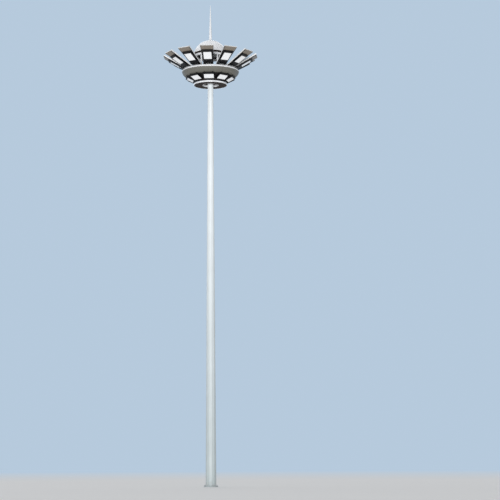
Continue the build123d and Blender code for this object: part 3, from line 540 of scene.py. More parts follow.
def zinc_coat(colours):
    """Hot-dip galvanising with its spangle and dull bloom."""
    zinc = Finish("zinc_coat", {"Specular IOR Level": 0.5})
    spangle = zinc.parts(zinc.cells(60.0, "F1", "Color"))[0]
    bloom = zinc.noise(8.0, 5.0).ramp(0.4, 0.7)
    body = zinc.mixed(times(colours.zinc, 0.82), colours.zinc, spangle)
    tone = zinc.mixed(body, (0.60, 0.61, 0.60), bloom * 0.4)
    zinc.use("Metallic", 0.85 - bloom * 0.35)
    roughness = 0.36 + spangle * 0.14 + bloom * 0.2
    return zinc.surface(tone, roughness, zinc.noise(90.0, 3.0), 0.0006, 0.35)


def bright_steel(colours):
    """Stainless steel, brushed, with a little tea staining."""
    steel = Finish("bright_steel", {"Specular IOR Level": 0.5})
    brushed = steel.noise(1.0, 4.0, steel.stretched((60.0, 60.0, 900.0)))
    stain = steel.noise(18.0, 4.0).ramp(0.55, 0.8)
    steel.use("Metallic", 0.98 - stain * 0.2)
    tone = steel.mixed(colours.steel, (0.40, 0.33, 0.25), stain * 0.25)
    return steel.surface(tone, 0.22 + brushed * 0.16 + stain * 0.15, brushed, 0.0003, 0.4)


def rope_steel(colours):
    """Laid wire rope: slanted strands, bright on their crowns and greased between."""
    rope = Finish("rope_steel", {"Specular IOR Level": 0.5})
    lay = (rope.z * 320.0 + (rope.x + rope.y) * 420.0).sin() * 0.5 + 0.5
    grease = rope.noise(14.0, 4.0).ramp(0.4, 0.7)
    rope.use("Metallic", 0.55 + lay * 0.4)
    tone = rope.mixed((0.10, 0.09, 0.075), colours.zinc, lay * (1.0 - grease * 0.5))
    return rope.surface(tone, 0.5 - lay * 0.15, lay, 0.0015, 0.8)


def black_rubber(colours):
    """Moulded rubber with a grey bloom."""
    rubber = Finish("black_rubber", {"Specular IOR Level": 0.3})
    bloom = rubber.noise(20.0, 5.0).ramp(0.4, 0.75)
    tone = rubber.mixed(colours.rubber, (0.08, 0.078, 0.074), bloom * 0.5)
    return rubber.surface(tone, 0.7 + bloom * 0.15, rubber.noise(300.0, 3.0), 0.0004, 0.5)


FINISHES = {
    "mast_paint": mast_paint,
    "stainless": bright_steel,
    "galvanised": zinc_coat,
    "wire_rope": rope_steel,
    "rubber_black": black_rubber,
    "dome_white": white_paint,
    "dome_skin": dome_paint,
    "passage_skin": passage_paint,
    "rim_skin": rim_paint,
    "cone_skin": cone_paint,
    "shadow_black": underside_paint,
    "saucer_grey": saucer_paint,
    "petal_sheet": petal_paint,
    "lamp_black": lamp_coat,
    "lamp_glass": lamp_glass,
    "lower_glass": lambda colours: lamp_glass(colours, LOWER_LAMPS),
}
OWN_FINISH = {
    "dome_shell": "dome_skin",
    "passage_tube": "passage_skin",
    "saucer_cone": "cone_skin",
    "lower_rim": "rim_skin",
    "lower_lamp_lenses": "lower_glass",
}
made_finishes = {}


def finish(slot):
    """The material of a slot, made the first time it is asked for."""
    if slot not in made_finishes:
        made_finishes[slot] = FINISHES[slot](bpy.context.scene.tower_colours)
    return made_finishes[slot]


# Modelling by operators

def alone(piece):
    """Deselects everything, then selects one piece and makes it active."""
    bpy.ops.object.select_all(action="DESELECT")
    piece.select_set(True)
    bpy.context.view_layer.objects.active = piece


@contextmanager
def editing(piece):
    """Edit mode on one piece, all of it selected at first."""
    alone(piece)
    bpy.ops.object.mode_set(mode="EDIT")
    bpy.ops.mesh.select_all(action="SELECT")
    yield
    bpy.ops.object.mode_set(mode="OBJECT")


def start(kind, name, turned=(0, 0, 0), scale=(1, 1, 1), centre=(0, 0, 0), **size):
    """Adds a primitive by itself, under the piece's name, and puts its place into its mesh."""
    bpy.ops.object.select_all(action="DESELECT")
    getattr(bpy.ops.mesh, f"primitive_{kind}_add")(rotation=turned, location=centre, **size)
    piece = bpy.context.object
    piece.name = name
    piece.data.name = name
    piece.scale = scale
    bpy.ops.object.transform_apply(location=True, rotation=True, scale=True)
    return piece


def pick_edges(piece, wanted):
    """In edit mode, selects only the edges with both ends at points that pass a test."""
    mesh = bmesh.from_edit_mesh(piece.data)
    bpy.ops.mesh.select_mode(type="EDGE")
    bpy.ops.mesh.select_all(action="DESELECT")
    for edge in mesh.edges:
        if all(wanted(end.co) for end in edge.verts):
            edge.select_set(True)
    mesh.select_flush_mode()
    bmesh.update_edit_mesh(piece.data)


def pull(x=0.0, y=0.0, z=0.0):
    """Extrudes what is selected."""
    bpy.ops.mesh.extrude_region_move(TRANSFORM_OT_translate={"value": (x, y, z)})


def outwards():
    """Turns every face of the piece in edit mode outwards."""
    bpy.ops.mesh.select_all(action="SELECT")
    bpy.ops.mesh.normals_make_consistent(inside=False)


def applied(piece, kind, **settings):
    """Adds a modifier and applies it."""
    alone(piece)
    modifier = piece.modifiers.new(kind.title(), kind)
    for name, value in settings.items():
        setattr(modifier, name, value)
    bpy.ops.object.modifier_apply(modifier=modifier.name)
    return piece


def eased(piece, width):
    """Bevels every edge sharper than a polygon's own corners."""
    return applied(piece, "BEVEL", width=width, segments=1, limit_method="ANGLE",
                   angle_limit=math.radians(50))


def thickened(piece, thickness, side=0.0):
    """Gives a sheet its thickness: 0 on both sides of it, 1 outwards, -1 inwards."""
    return applied(piece, "SOLIDIFY", thickness=thickness, offset=side, use_even_offset=True)


def moved(piece, matrix):
    piece.data.transform(matrix)
    return piece


def joined(name, pieces):
    """Makes one piece of several; a single piece only takes the name."""
    alone(pieces[0])
    if len(pieces) > 1:
        for piece in pieces:
            piece.select_set(True)
        bpy.ops.object.join()
    pieces[0].name = name
    pieces[0].data.name = name
    return pieces[0]


def spread(piece, places):
    """Copies a piece to each place, each copy with its own mesh, and joins them."""
    copies = []
    for place in places:
        copy = piece.copy()
        copy.data = piece.data.copy()
        copy.data.transform(place)
        if place.determinant() < 0:
            copy.data.flip_normals()
        bpy.context.scene.collection.objects.link(copy)
        copies.append(copy)
    name = piece.name
    bpy.data.objects.remove(piece)
    return joined(name, copies)


def fitted(piece, body, slot, smooth=30.0):
    """Smooths a piece by angle, gives it its finish and lets it ride on a body."""
    alone(piece)
    bpy.ops.object.shade_smooth_by_angle(angle=math.radians(smooth))
    piece.data.materials.clear()
    piece.data.materials.append(finish(slot))
    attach(piece, body)


def fit_all(piece, places, body, slot, smooth=30.0):
    """Fits one piece that holds a copy at each place."""
    fitted(spread(piece, places), body, slot, smooth)


# Places

def at(x=0.0, y=0.0, z=0.0):
    return Matrix.Translation((x, y, z))


def turned_by(degrees, axis="Z"):
    return Matrix.Rotation(math.radians(degrees), 4, axis)


def ring(count, first=0.0):
    """Turns about the mast axis, evenly spaced."""
    return [Matrix.Rotation(math.radians(first) + 2 * math.pi * step / count, 4, "Z")
            for step in range(count)]


def grid(columns, rows, z):
    """Places in columns and rows at one height."""
    return [at(x, y, z) for x in columns for y in rows]


def each(places, inner):
    """Every inner place within every place."""
    return [place @ part for place in places for part in inner]


def edge_places(width, span, columns, rows, z):
    """Places along a rectangle's edge, corners included."""
    across = [width * (step / columns - 0.5) for step in range(columns + 1)]
    along = [span * (step / rows - 0.5) for step in range(1, rows)]
    sides = [at(x, y, z) for y in along for x in (-width / 2, width / 2)]
    return grid(across, (-span / 2, span / 2), z) + sides


def plane_matrix(across, out, off, origin=(0, 0, 0)):
    """Matrix whose X, Y and Z go across, out and off a surface."""
    matrix = Matrix((across, out, off)).transposed().to_4x4()
    matrix.translation = origin
    return matrix


STAY = Matrix.Identity(4)
FLIP = turned_by(180, "X")
MIRROR = Matrix.Scale(-1, 4, (1, 0, 0))
TO_RIGHT = plane_matrix((0, 1, 0), (0, 0, 1), (1, 0, 0))
TO_LEFT = plane_matrix((0, -1, 0), (0, 0, 1), (-1, 0, 0))
TO_REAR = plane_matrix((-1, 0, 0), (0, 0, 1), (0, 1, 0))


def slope_matrix(slope, radius, height):
    """Plane at -Y that climbs outwards: X across, Y out along the slope, Z up off it."""
    out = (0, -math.cos(slope), math.sin(slope))
    off = (0, math.sin(slope), math.cos(slope))
    return plane_matrix((-1, 0, 0), out, off, (0, -radius, height))


def petal_plane(sizes):
    """Plane of the front petal's skin, with its origin at the middle of the root."""
    return slope_matrix(sizes.slope, sizes.root_radius, sizes.root_height)


def petal_places(sizes):
    """Plane of each petal's skin, from the front one round."""
    return each(ring(PETALS), [petal_plane(sizes)])


def glass_middle(sizes):
    """Distance from a petal's root to the middle of its glass."""
    return sizes.lamp_start + sizes.lamp_length - sizes.glass_margin - sizes.glass_length / 2


def shaft_face(sizes, z):
    """Distance of a flat of the lower shaft from the axis."""
    return (sizes.shaft_width - sizes.shaft_taper * (z - top("base_flange"))) / 2


# Shapes that several groups use

def stacked(name, sections):
    """Turned or hexagonal sections on one axis: (sides, radius, low, high, chamfer) each."""
    parts = []
    for sides, radius, low, high, chamfer in sections:
        part = start("cylinder", name, vertices=sides, radius=radius, depth=high - low,
                     end_fill_type="NGON", centre=(0, 0, (low + high) / 2))
        with editing(part):
            pick_edges(part, lambda point: point.z > high - TOLERANCE)
            bpy.ops.mesh.bevel(offset=chamfer, segments=1, affect="EDGES")
        parts.append(part)
    return joined(name, parts)


def bolt_head(name, size):
    """Washer and hexagon head; size is the radius across the head's corners."""
    washer, high = size * 0.2, size * 0.9
    return stacked(name, [(14, size * 1.25, 0, washer, washer * 0.3), (6, size, washer, high, size * 0.14)])


def screw_head(name, size):
    """Low domed head."""
    return stacked(name, [(10, size, 0, size * 0.5, size * 0.28)])


def plate(name, width, span, thickness, edge, corner=0.0):
    """Flat plate standing on the XY plane, with rounded corners and eased edges."""
    piece = start("plane", name, size=1.0, scale=(width, span, 1.0))
    with editing(piece):
        if corner:
            bpy.ops.mesh.bevel(offset=corner, segments=3, affect="VERTICES")
            bpy.ops.mesh.select_all(action="SELECT")
        pull(z=thickness)
        outwards()
    return eased(piece, edge)


def frame_ring(name, width, span, border, thickness, edge):
    """Flat rectangular frame standing on the XY plane."""
    piece = start("plane", name, size=1.0, scale=(width, span, 1.0))
    with editing(piece):
        bpy.ops.mesh.inset(thickness=border)
        bpy.ops.mesh.delete(type="FACE")
        bpy.ops.mesh.select_all(action="SELECT")
        pull(z=thickness)
        outwards()
    return eased(piece, edge)


def angle_strip(name, span, upright, flat, thickness):
    """L-shaped strip along Y: an upright leg at x = 0 and a flat leg towards -X."""
    piece = start("plane", name, size=1.0, turned=(0, math.pi / 2, 0), scale=(upright, span, 1.0),
                  centre=(0, span / 2, upright / 2))
    with editing(piece):
        pick_edges(piece, lambda point: abs(point.z) < TOLERANCE)
        pull(x=-flat)
        outwards()
    return eased(thickened(piece, thickness), thickness * 0.3)


def hoop(name, sides, width, low, high, thickness, edge):
    """Ring round the axis; width is that of its inner side across flats, or of its outer side
    if thickness is negative."""
    piece = start("cylinder", name, vertices=sides, radius=width / 2 / math.cos(math.pi / sides),
                  depth=high - low, end_fill_type="NOTHING", centre=(0, 0, (low + high) / 2),
                  turned=(0, 0, math.pi / sides))
    return eased(thickened(piece, abs(thickness), math.copysign(1.0, thickness)), edge)


def glass_frames(name, glass, border, face, places, columns, rows):
    """Frame that holds each glass, with a row of screws round it."""
    lap, proud = 0.004, 0.006
    width, span = (side + 2 * (border - lap) for side in glass)
    piece = frame_ring(f"{name}_frames", width, span, border, proud, edge=0.0018)
    fit_all(piece, each(places, [face]), "carriage", "lamp_black")
    row = edge_places(width - border, span - border, columns, rows, proud)
    screws = moved(spread(screw_head(f"{name}_frame_screws", 0.006), row), face)
    fit_all(screws, places, "carriage", "stainless")


# One operator for each group of pieces, and one for the stage

class TOWER_OT_solid_finishes(bpy.types.Operator):
    """Gives every solid of the tower its finish"""
    bl_idname = "tower.solid_finishes"
    bl_label = "Finishes of the solids"

    def execute(self, context):
        slots = {part["node"]: part["material_slot"] for part in frame["record"]["subparts"]}
        slots.update(OWN_FINISH)
        for name, solid in SOLIDS.items():
            solid.data.materials.clear()
            solid.data.materials.append(finish(slots[name]))
        return {"FINISHED"}


class TOWER_OT_anchor_bolts(bpy.types.Operator):
    """Studs, nuts and washers that hold the base flange down"""
    bl_idname = "tower.anchor_bolts"
    bl_label = "Anchor bolts"

    def execute(self, context):
        sizes = context.scene.base_sizes
        seat = top("base_flange")
        washer = seat + 0.007
        nut = washer + 0.030
        lock = nut + 0.018
        bolt = stacked("anchor_bolts", [
            (20, sizes.nut * 1.08, seat, washer, 0.001),
            (6, sizes.nut, washer, nut, 0.003),
            (6, sizes.nut, nut, lock, 0.003),
            (14, sizes.stud, lock, seat + sizes.stud_height, 0.003),
        ])
        places = each(ring(sizes.bolts, 180 / sizes.bolts), [at(x=sizes.bolt_circle)])
        fit_all(bolt, places, "mast", "galvanised")
        return {"FINISHED"}


class TOWER_OT_shaft_welds(bpy.types.Operator):
    """Weld at the flange and the sealing beads where one shaft length slips over the next"""
    bl_idname = "tower.shaft_welds"
    bl_label = "Shaft welds and seals"

    def execute(self, context):
        sizes = context.scene.base_sizes
        seat = top("base_flange")
        weld = hoop("flange_weld", sizes.shaft_sides, sizes.shaft_width, seat, seat + sizes.weld,
                    sizes.weld, edge=sizes.weld * 0.35)
        fitted(weld, "mast", "mast_paint")
        lip, drop = 0.004, 0.010
        joints = (
            ("lower_seal", "mast_middle", sizes.middle_width, 0.006),
            ("upper_seal", "mast_upper", sizes.upper_width, 0.005),
        )
        for name, node, width, wall in joints:
            foot = bottom(node)
            seal = hoop(name, sizes.shaft_sides, width - 2 * wall, foot - drop, foot + TOLERANCE,
                        wall - lip / 4, edge=lip / 2)
            fitted(seal, "mast", "mast_paint")
        return {"FINISHED"}


class TOWER_OT_door_fittings(bpy.types.Operator):
    """Seal round the service door, hinge plates, lock discs and the earthing boss"""
    bl_idname = "tower.door_fittings"
    bl_label = "Door fittings"

    def execute(self, context):
        sizes = context.scene.base_sizes
        self.seal(sizes)
        self.hinges(sizes)
        self.locks(sizes)
        self.earth(sizes)
        return {"FINISHED"}

    def seal(self, sizes):
        """Rubber cord laid on the shaft round the leaf's edge."""
        gap, cord, clear = 0.003, 0.0027, 0.05
        outline = start("plane", "door_seal", size=1.0, turned=(math.pi / 2, 0, 0),
                        scale=(sizes.door_width + gap, sizes.door_span + gap, 1.0),
                        centre=(0, sizes.shaft_width / 2 + clear, sizes.door_height))
        with editing(outline):
            bpy.ops.mesh.bevel(offset=sizes.door_corner + gap / 2, segments=8, affect="VERTICES")
            bpy.ops.mesh.select_all(action="SELECT")
            bpy.ops.mesh.delete(type="ONLY_FACE")
            bpy.ops.mesh.select_mode(type="EDGE")
            bpy.ops.mesh.select_all(action="SELECT")
            bpy.ops.mesh.subdivide(number_cuts=3)
        applied(outline, "SHRINKWRAP", target=SOLIDS["mast_lower"], wrap_method="PROJECT",
                use_project_y=True, use_negative_direction=True, use_positive_direction=False, offset=cord)
        bpy.ops.object.convert(target="CURVE")
        outline.data.bevel_depth = cord
        outline.data.bevel_resolution = 2
        bpy.ops.object.convert(target="MESH")
        fitted(bpy.context.object, "mast", "rubber_black", 60.0)

    def hinges(self, sizes):
        """Plate and screws beside each hinge barrel, on the frame."""
        thickness, frame_plate, off_edge, reach = 0.003, 0.012, 0.0115, 0.19
        leaf = plate("hinge_plates", 0.036, 0.058, thickness, edge=0.0008, corner=0.006)
        holes = grid((-0.006, 0.009), (-0.018, 0.018), thickness)
        leaf = joined("hinge_plates", [leaf, spread(screw_head("screw", 0.0045), holes)])
        places = []
        for z in (sizes.door_height - reach, sizes.door_height + reach):
            face = shaft_face(sizes, z) + frame_plate
            places.append(turned_by(-30) @ at(off_edge, face, z) @ TO_REAR)
        fit_all(leaf, places, "mast", "stainless")

    def locks(self, sizes):
        """Raised disc round each lock."""
        leaf_plate, reach = 0.006, 0.18
        disc = hoop("lock_discs", sides=28, width=0.0335, low=0.0, high=0.003, thickness=0.009,
                    edge=0.0008)
        places = [at(0, shaft_face(sizes, z) + leaf_plate, z) @ TO_REAR
                  for z in (sizes.door_height - reach, sizes.door_height + reach)]
        fit_all(disc, places, "mast", "stainless")

    def earth(self, sizes):
        """Threaded boss low on the shaft with its bolt and washer."""
        height, boss, washer, head, tip = 0.30, 0.020, 0.0225, 0.032, 0.038
        piece = stacked("earth_boss", [
            (18, 0.021, -0.002, boss, 0.002),
            (16, 0.017, boss, washer, 0.0005),
            (6, 0.0125, washer, head, 0.0016),
            (12, 0.006, head, tip, 0.001),
        ])
        where = turned_by(60) @ at(x=shaft_face(sizes, height), z=height) @ TO_RIGHT
        fitted(moved(piece, where), "mast", "galvanised")


class TOWER_OT_dome_fittings(bpy.types.Operator):
    """Screws under the dome's lip, and the clamp and bead on the finial's collar"""
    bl_idname = "tower.dome_fittings"
    bl_label = "Dome fittings"

    def execute(self, context):
        sizes = context.scene.head_sizes
        screws, inset, sides = 36, 0.022, 40
        under = at(x=sizes.dome_radius - inset, z=bottom("dome_shell")) @ FLIP
        places = each(ring(screws, 5), [under])
        fit_all(bolt_head("dome_screws", 0.010), places, "mast", "stainless")
        rim = top("finial_collar")
        bands = (
            ("collar_clamp", 0.1985, rim - 0.017, rim - 0.004, 0.003, 0.0008, "stainless"),
            ("collar_bead", 0.1846, rim - 0.001, rim + 0.006, 0.0055, 0.002, "rubber_black"),
        )
        for name, width, low, high, thickness, edge, slot in bands:
            fitted(hoop(name, sides, width, low, high, thickness, edge), "mast", slot)
        return {"FINISHED"}


class TOWER_OT_head_fittings(bpy.types.Operator):
    """Nuts on the pulley pins and the straps that hold the dome's arms down"""
    bl_idname = "tower.head_fittings"
    bl_label = "Rope head fittings"

    def execute(self, context):
        sizes = context.scene.head_sizes
        washer, nut, pin = 0.004, 0.020, 0.030
        piece = stacked("pulley_nuts", [
            (20, 0.034, 0, washer, 0.0008),
            (6, 0.027, washer, nut, 0.003),
            (14, 0.013, nut, pin, 0.002),
        ])
        ends = [at(sizes.pulley_circle, side * sizes.pulley_pack, sizes.pulley_height)
                @ turned_by(-side * 90, "X") for side in (1, -1)]
        fit_all(piece, each(ring(sizes.pulleys, 30), ends), "mast", "galvanised")
        self.straps(sizes)
        return {"FINISHED"}

    def straps(self, sizes):
        """Folded strap over each arm, bolted to the head plate at both sides."""
        sheet, foot, wide, radius = 0.006, 0.045, 0.050, 0.335
        half = sizes.arm_width / 2 + sheet / 2
        high = sizes.arm_height + sheet / 2
        strap = start("plane", "arm_straps", size=1.0, scale=(wide, 2 * half, 1.0), centre=(0, 0, high))
        with editing(strap):
            for side in (1, -1):
                pick_edges(strap, lambda point: point.y * side > half - TOLERANCE)
                pull(z=sheet / 2 - high)
                pull(y=side * foot)
            outwards()
        eased(thickened(strap, sheet), sheet * 0.25)
        feet = [at(y=side * (half + foot * 0.6), z=sheet) for side in (1, -1)]
        strap = joined("arm_straps", [strap, spread(bolt_head("bolt", 0.011), feet)])
        seat = at(x=radius, z=top("head_plate"))
        fit_all(strap, each(ring(sizes.arms), [seat]), "mast", "galvanised")


class TOWER_OT_crown_fittings(bpy.types.Operator):
    """Splice plates and bolts on the crown ring, and the bolts through the posts' feet"""
    bl_idname = "tower.crown_fittings"
    bl_label = "Crown fittings"

    def execute(self, context):
        sizes = context.scene.head_sizes
        self.splices(sizes)
        self.feet(sizes)
        return {"FINISHED"}

    def splices(self, sizes):
        """Plate over each of the crown ring's joints, with two rows of bolts."""
        joints, thickness, sunk = 4, 0.008, 0.0035
        middle = (top("crown_ring") + bottom("crown_ring")) / 2
        face = at(x=sizes.dome_radius - sunk, z=middle) @ TO_RIGHT
        places = each(ring(joints, 45), [face])
        splice = plate("crown_splices", 0.160, 0.088, thickness, edge=0.0015, corner=0.008)
        fit_all(splice, places, "carriage", "dome_white")
        holes = grid((-0.055, -0.02, 0.02, 0.055), (-0.024, 0.024), thickness)
        fit_all(bolt_head("crown_bolts", 0.009), each(places, holes), "carriage", "stainless")

    def feet(self, sizes):
        """Four bolts through each post's foot plate."""
        margin, foot_plate = 0.013, 0.008
        reach = sizes.post_foot / 2 - margin
        seat = top("saucer_deck") + foot_plate
        middle = -sizes.post_radius
        holes = grid((-reach, reach), (middle - reach, middle + reach), seat)
        fit_all(bolt_head("post_bolts", 0.010), each(ring(sizes.posts), holes), "carriage", "galvanised")


class TOWER_OT_petal_hems(bpy.types.Operator):
    """Dark strips riveted along the lower edges of each petal"""
    bl_idname = "tower.petal_hems"
    bl_label = "Petal hems"

    def execute(self, context):
        sizes = context.scene.petal_sizes
        lean = math.atan((sizes.tip_width - sizes.root_width) / 2 / sizes.span)
        sheet, lap, short, rivets = 0.002, 0.022, 0.012, 12
        off = sheet / 2 + 0.0001
        span = sizes.span / math.cos(lean) - 2 * short
        side = at(sizes.root_width / 2 + off, 0, -off) @ Matrix.Rotation(-lean, 4, "Z") @ at(y=short)
        places = each(petal_places(sizes), (STAY, MIRROR))
        strip = moved(angle_strip("petal_hems", span, sizes.hem, lap, sheet), side)
        fit_all(strip, places, "carriage", "lamp_black")
        heads = [side @ at(off, span * (step + 0.5) / rivets, sizes.hem * 0.55) @ TO_RIGHT
                 for step in range(rivets)]
        fit_all(spread(screw_head("petal_rivets", 0.0055), heads), places, "carriage", "stainless")
        return {"FINISHED"}


class TOWER_OT_petal_trays(bpy.types.Operator):
    """Stiffeners across each petal's tray and the bolts at its root"""
    bl_idname = "tower.petal_trays"
    bl_label = "Petal tray fittings"

    def execute(self, context):
        sizes = context.scene.petal_sizes
        places = petal_places(sizes)
        self.ribs(sizes, places)
        holes = grid((-0.09, 0.09), (0.055, 0.150), sizes.sheet)
        fit_all(bolt_head("root_bolts", 0.011), each(places, holes), "carriage", "galvanised")
        return {"FINISHED"}

    def ribs(self, sizes, places):
        """Two pressed ribs between the floodlight and the tip."""
        clear, wide, high, sunk, from_root = 0.030, 0.055, 0.026, 0.001, (1.44, 1.60)
        grow = (sizes.tip_width - sizes.root_width) / sizes.span
        ribs = []
        for y in from_root:
            rib = plate("tray_ribs", sizes.root_width + grow * y - clear, wide, high, edge=0.010)
            ribs.append(moved(rib, at(y=y, z=sizes.sheet - sunk)))
        fit_all(joined("tray_ribs", ribs), places, "carriage", "petal_sheet")


class TOWER_OT_upper_lamps(bpy.types.Operator):
    """Glass frame, gear cover, latches, screws and conduit of each upper floodlight"""
    bl_idname = "tower.upper_lamps"
    bl_label = "Upper floodlight fittings"

    def execute(self, context):
        sizes = context.scene.petal_sizes
        places = petal_places(sizes)
        face = at(y=glass_middle(sizes), z=-sizes.lamp_depth) @ FLIP
        glass = (sizes.glass_width, sizes.glass_length)
        glass_frames("upper", glass, 0.032, face, places, columns=3, rows=4)
        self.covers(sizes, places)
        self.latches(sizes, places)
        self.conduits(sizes)
        return {"FINISHED"}

    def covers(self, sizes, places):
        """Raised cover of the gear compartment at the inner end."""
        width, span, thickness, sunk = 0.500, 0.225, 0.004, 0.0005
        border, screw_line, margin = 0.076, 0.034, 0.028
        cover = plate("gear_covers", width, span, thickness, edge=0.0012, corner=0.016)
        panel = plate("panel", width - border, span - border, 0.0055, edge=0.0022, corner=0.010)
        cover = joined("gear_covers", [cover, moved(panel, at(z=thickness - sunk))])
        face = at(y=sizes.lamp_start + margin + span / 2, z=-sizes.lamp_depth) @ FLIP
        fit_all(cover, each(places, [face]), "carriage", "lamp_black")
        row = edge_places(width - screw_line, span - screw_line, 4, 2, thickness)
        screws = moved(spread(screw_head("cover_screws", 0.005), row), face)
        fit_all(screws, places, "carriage", "stainless")

    def latches(self, sizes, places):
        """Two over-centre latches on each side of the case."""
        thickness, reach = 0.003, 0.21
        base = plate("latches", 0.052, 0.036, thickness, edge=0.0008, corner=0.005)
        lever = plate("lever", 0.030, 0.030, 0.004, edge=0.0015, corner=0.003)
        roll = stacked("roll", [(10, 0.004, -0.021, 0.021, 0.001)])
        latch = joined("latches", [base, moved(lever, at(y=0.002, z=thickness)),
                                   moved(roll, at(y=-0.013, z=0.007) @ turned_by(90, "Y"))])
        middle, z = glass_middle(sizes), -sizes.lamp_depth * 0.55
        sides = [at(side * sizes.lamp_width / 2, middle + y, z) @ turned
                 for side, turned in ((1, TO_RIGHT), (-1, TO_LEFT)) for y in (-reach, reach)]
        fit_all(spread(latch, sides), places, "carriage", "lamp_black")

    def conduits(self, sizes):
        """Rigid conduit from each case's inner end down to the deck, with a gland at both ends."""
        x, z, radius, steps = 0.200, -0.036, 0.0085, 6
        bend, back, overlap = 0.150, 0.050, 0.010
        deck = top("saucer_deck")
        here = petal_plane(sizes)
        entry = here @ Vector((x, bend, z))
        foot = Vector((entry.x, entry.y + back, deck))
        drop = [Vector((foot.x, foot.y, deck + height)) for height in (0.080, 0.045)]
        route = [here @ Vector((x, sizes.lamp_start - overlap, z)), entry, *drop, foot]
        pipe = self.pipe(route, radius, steps)
        gland = stacked("gland", [(6, 0.016, 0, 0.012, 0.002), (14, 0.013, 0.012, 0.022, 0.003)])
        inner = here @ at(x, sizes.lamp_start, z) @ turned_by(90, "X")
        pipe = joined("lamp_conduits", [pipe, spread(gland, [inner, Matrix.Translation(foot)])])
        fit_all(pipe, ring(PETALS), "carriage", "galvanised", 40.0)

    def pipe(self, route, radius, steps):
        """Closed tube along a smooth curve with the route's points as its control points."""
        bpy.ops.object.select_all(action="DESELECT")
        bpy.ops.curve.primitive_nurbs_path_add()
        curve = bpy.context.object.data
        spline = curve.splines[0]
        for point, where in zip(spline.points, route):
            point.co = (*where, 1.0)
        spline.order_u = 3
        spline.use_endpoint_u = True
        curve.resolution_u = steps
        curve.bevel_depth = radius
        curve.bevel_resolution = 1
        curve.use_fill_caps = True
        bpy.ops.object.convert(target="MESH")
        pipe = bpy.context.object
        with editing(pipe):
            bpy.ops.mesh.remove_doubles(threshold=TOLERANCE)
            outwards()
        return pipe


class TOWER_OT_lower_lamps(bpy.types.Operator):
    """Glass frame, screws and cleats of each lower floodlight"""
    bl_idname = "tower.lower_lamps"
    bl_label = "Lower floodlight fittings"

    def execute(self, context):
        sizes = context.scene.saucer_sizes
        here = slope_matrix(sizes.cone_slope, sizes.glass_radius, sizes.glass_height)
        places = each(ring(LOWER_LAMPS), [here])
        glass = (sizes.glass_width, sizes.glass_length)
        glass_frames("lower", glass, 0.028, FLIP, places, columns=4, rows=3)
        self.cleats(sizes, places)
        return {"FINISHED"}

    def cleats(self, sizes, places):
        """Two angle cleats between each case's outer end and the cone."""
        span, upright, flat, sheet = 0.060, 0.044, 0.040, 0.005
        sunk, reach = 0.001, 0.24
        cleat = angle_strip("lower_cleats", span, upright, flat, sheet)
        bolt = moved(bolt_head("bolt", 0.010), at(-flat * 0.55, span / 2, sheet / 2))
        cleat = joined("lower_cleats", [cleat, bolt])
        upside_down = turned_by(90) @ turned_by(180, "Y")
        row = [at(x + span / 2, sizes.lamp_end + sheet / 2, sizes.lamp_depth - sheet / 2 - sunk)
               @ upside_down for x in (-reach, reach)]
        fit_all(spread(cleat, row), places, "carriage", "lamp_black")


class TOWER_OT_saucer_fittings(bpy.types.Operator):
    """Joint covers on the white edge strip, screws under the saucer and the lip of the hole"""
    bl_idname = "tower.saucer_fittings"
    bl_label = "Saucer fittings"

    def execute(self, context):
        sizes = context.scene.saucer_sizes
        self.covers(sizes)
        under = bottom("underside_plate")
        outer, inner = 0.995, sizes.passage_radius + 0.035
        places = each(ring(24, 7.5), [at(x=outer, z=under) @ FLIP])
        places += each(ring(12, 15), [at(x=inner, z=under) @ FLIP])
        fit_all(screw_head("underside_screws", 0.008), places, "carriage", "stainless")
        lip = hoop("passage_lip", sides=96, width=2 * sizes.passage_radius, low=under - 0.005,
                   high=under + 0.022, thickness=-0.009, edge=0.003)
        fitted(lip, "carriage", "dome_white")
        return {"FINISHED"}

    def covers(self, sizes):
        """Small riveted plate over each joint of the edge strip."""
        width, span, thickness, off = 0.050, 0.066, 0.002, 0.0002
        strip_lean, strip_height = 0.035, 0.065
        cover = plate("rim_covers", width, span, thickness, edge=0.0006, corner=0.006)
        holes = grid((-0.015, 0.015), (-0.02, 0.02), thickness)
        rivets = spread(screw_head("rivet", 0.004), holes)
        cover = joined("rim_covers", [cover, rivets])
        lean = math.atan(strip_lean / strip_height)
        out = (0, -math.cos(lean), math.sin(lean))
        up = (0, math.sin(lean), math.cos(lean))
        here = plane_matrix((1, 0, 0), up, out, (0, -sizes.rim_radius - off, sizes.rim_height))
        fit_all(cover, each(ring(PETALS, 15), [here]), "carriage", "dome_white")


class TOWER_OT_guide_nuts(bpy.types.Operator):
    """Nuts on the ends of the guide rollers' axles"""
    bl_idname = "tower.guide_nuts"
    bl_label = "Guide axle nuts"

    def execute(self, context):
        sizes = context.scene.saucer_sizes
        guides, half, face, tip = 6, 0.043, 0.010, 0.016
        nut = stacked("guide_nuts", [(6, 0.018, -0.001, face, 0.002), (12, 0.010, face, tip, 0.002)])
        ends = [at(sizes.guide_radius, side * half, sizes.guide_height) @ turned_by(-side * 90, "X")
                for side in (1, -1)]
        fit_all(nut, each(ring(guides), ends), "carriage", "galvanised")
        return {"FINISHED"}


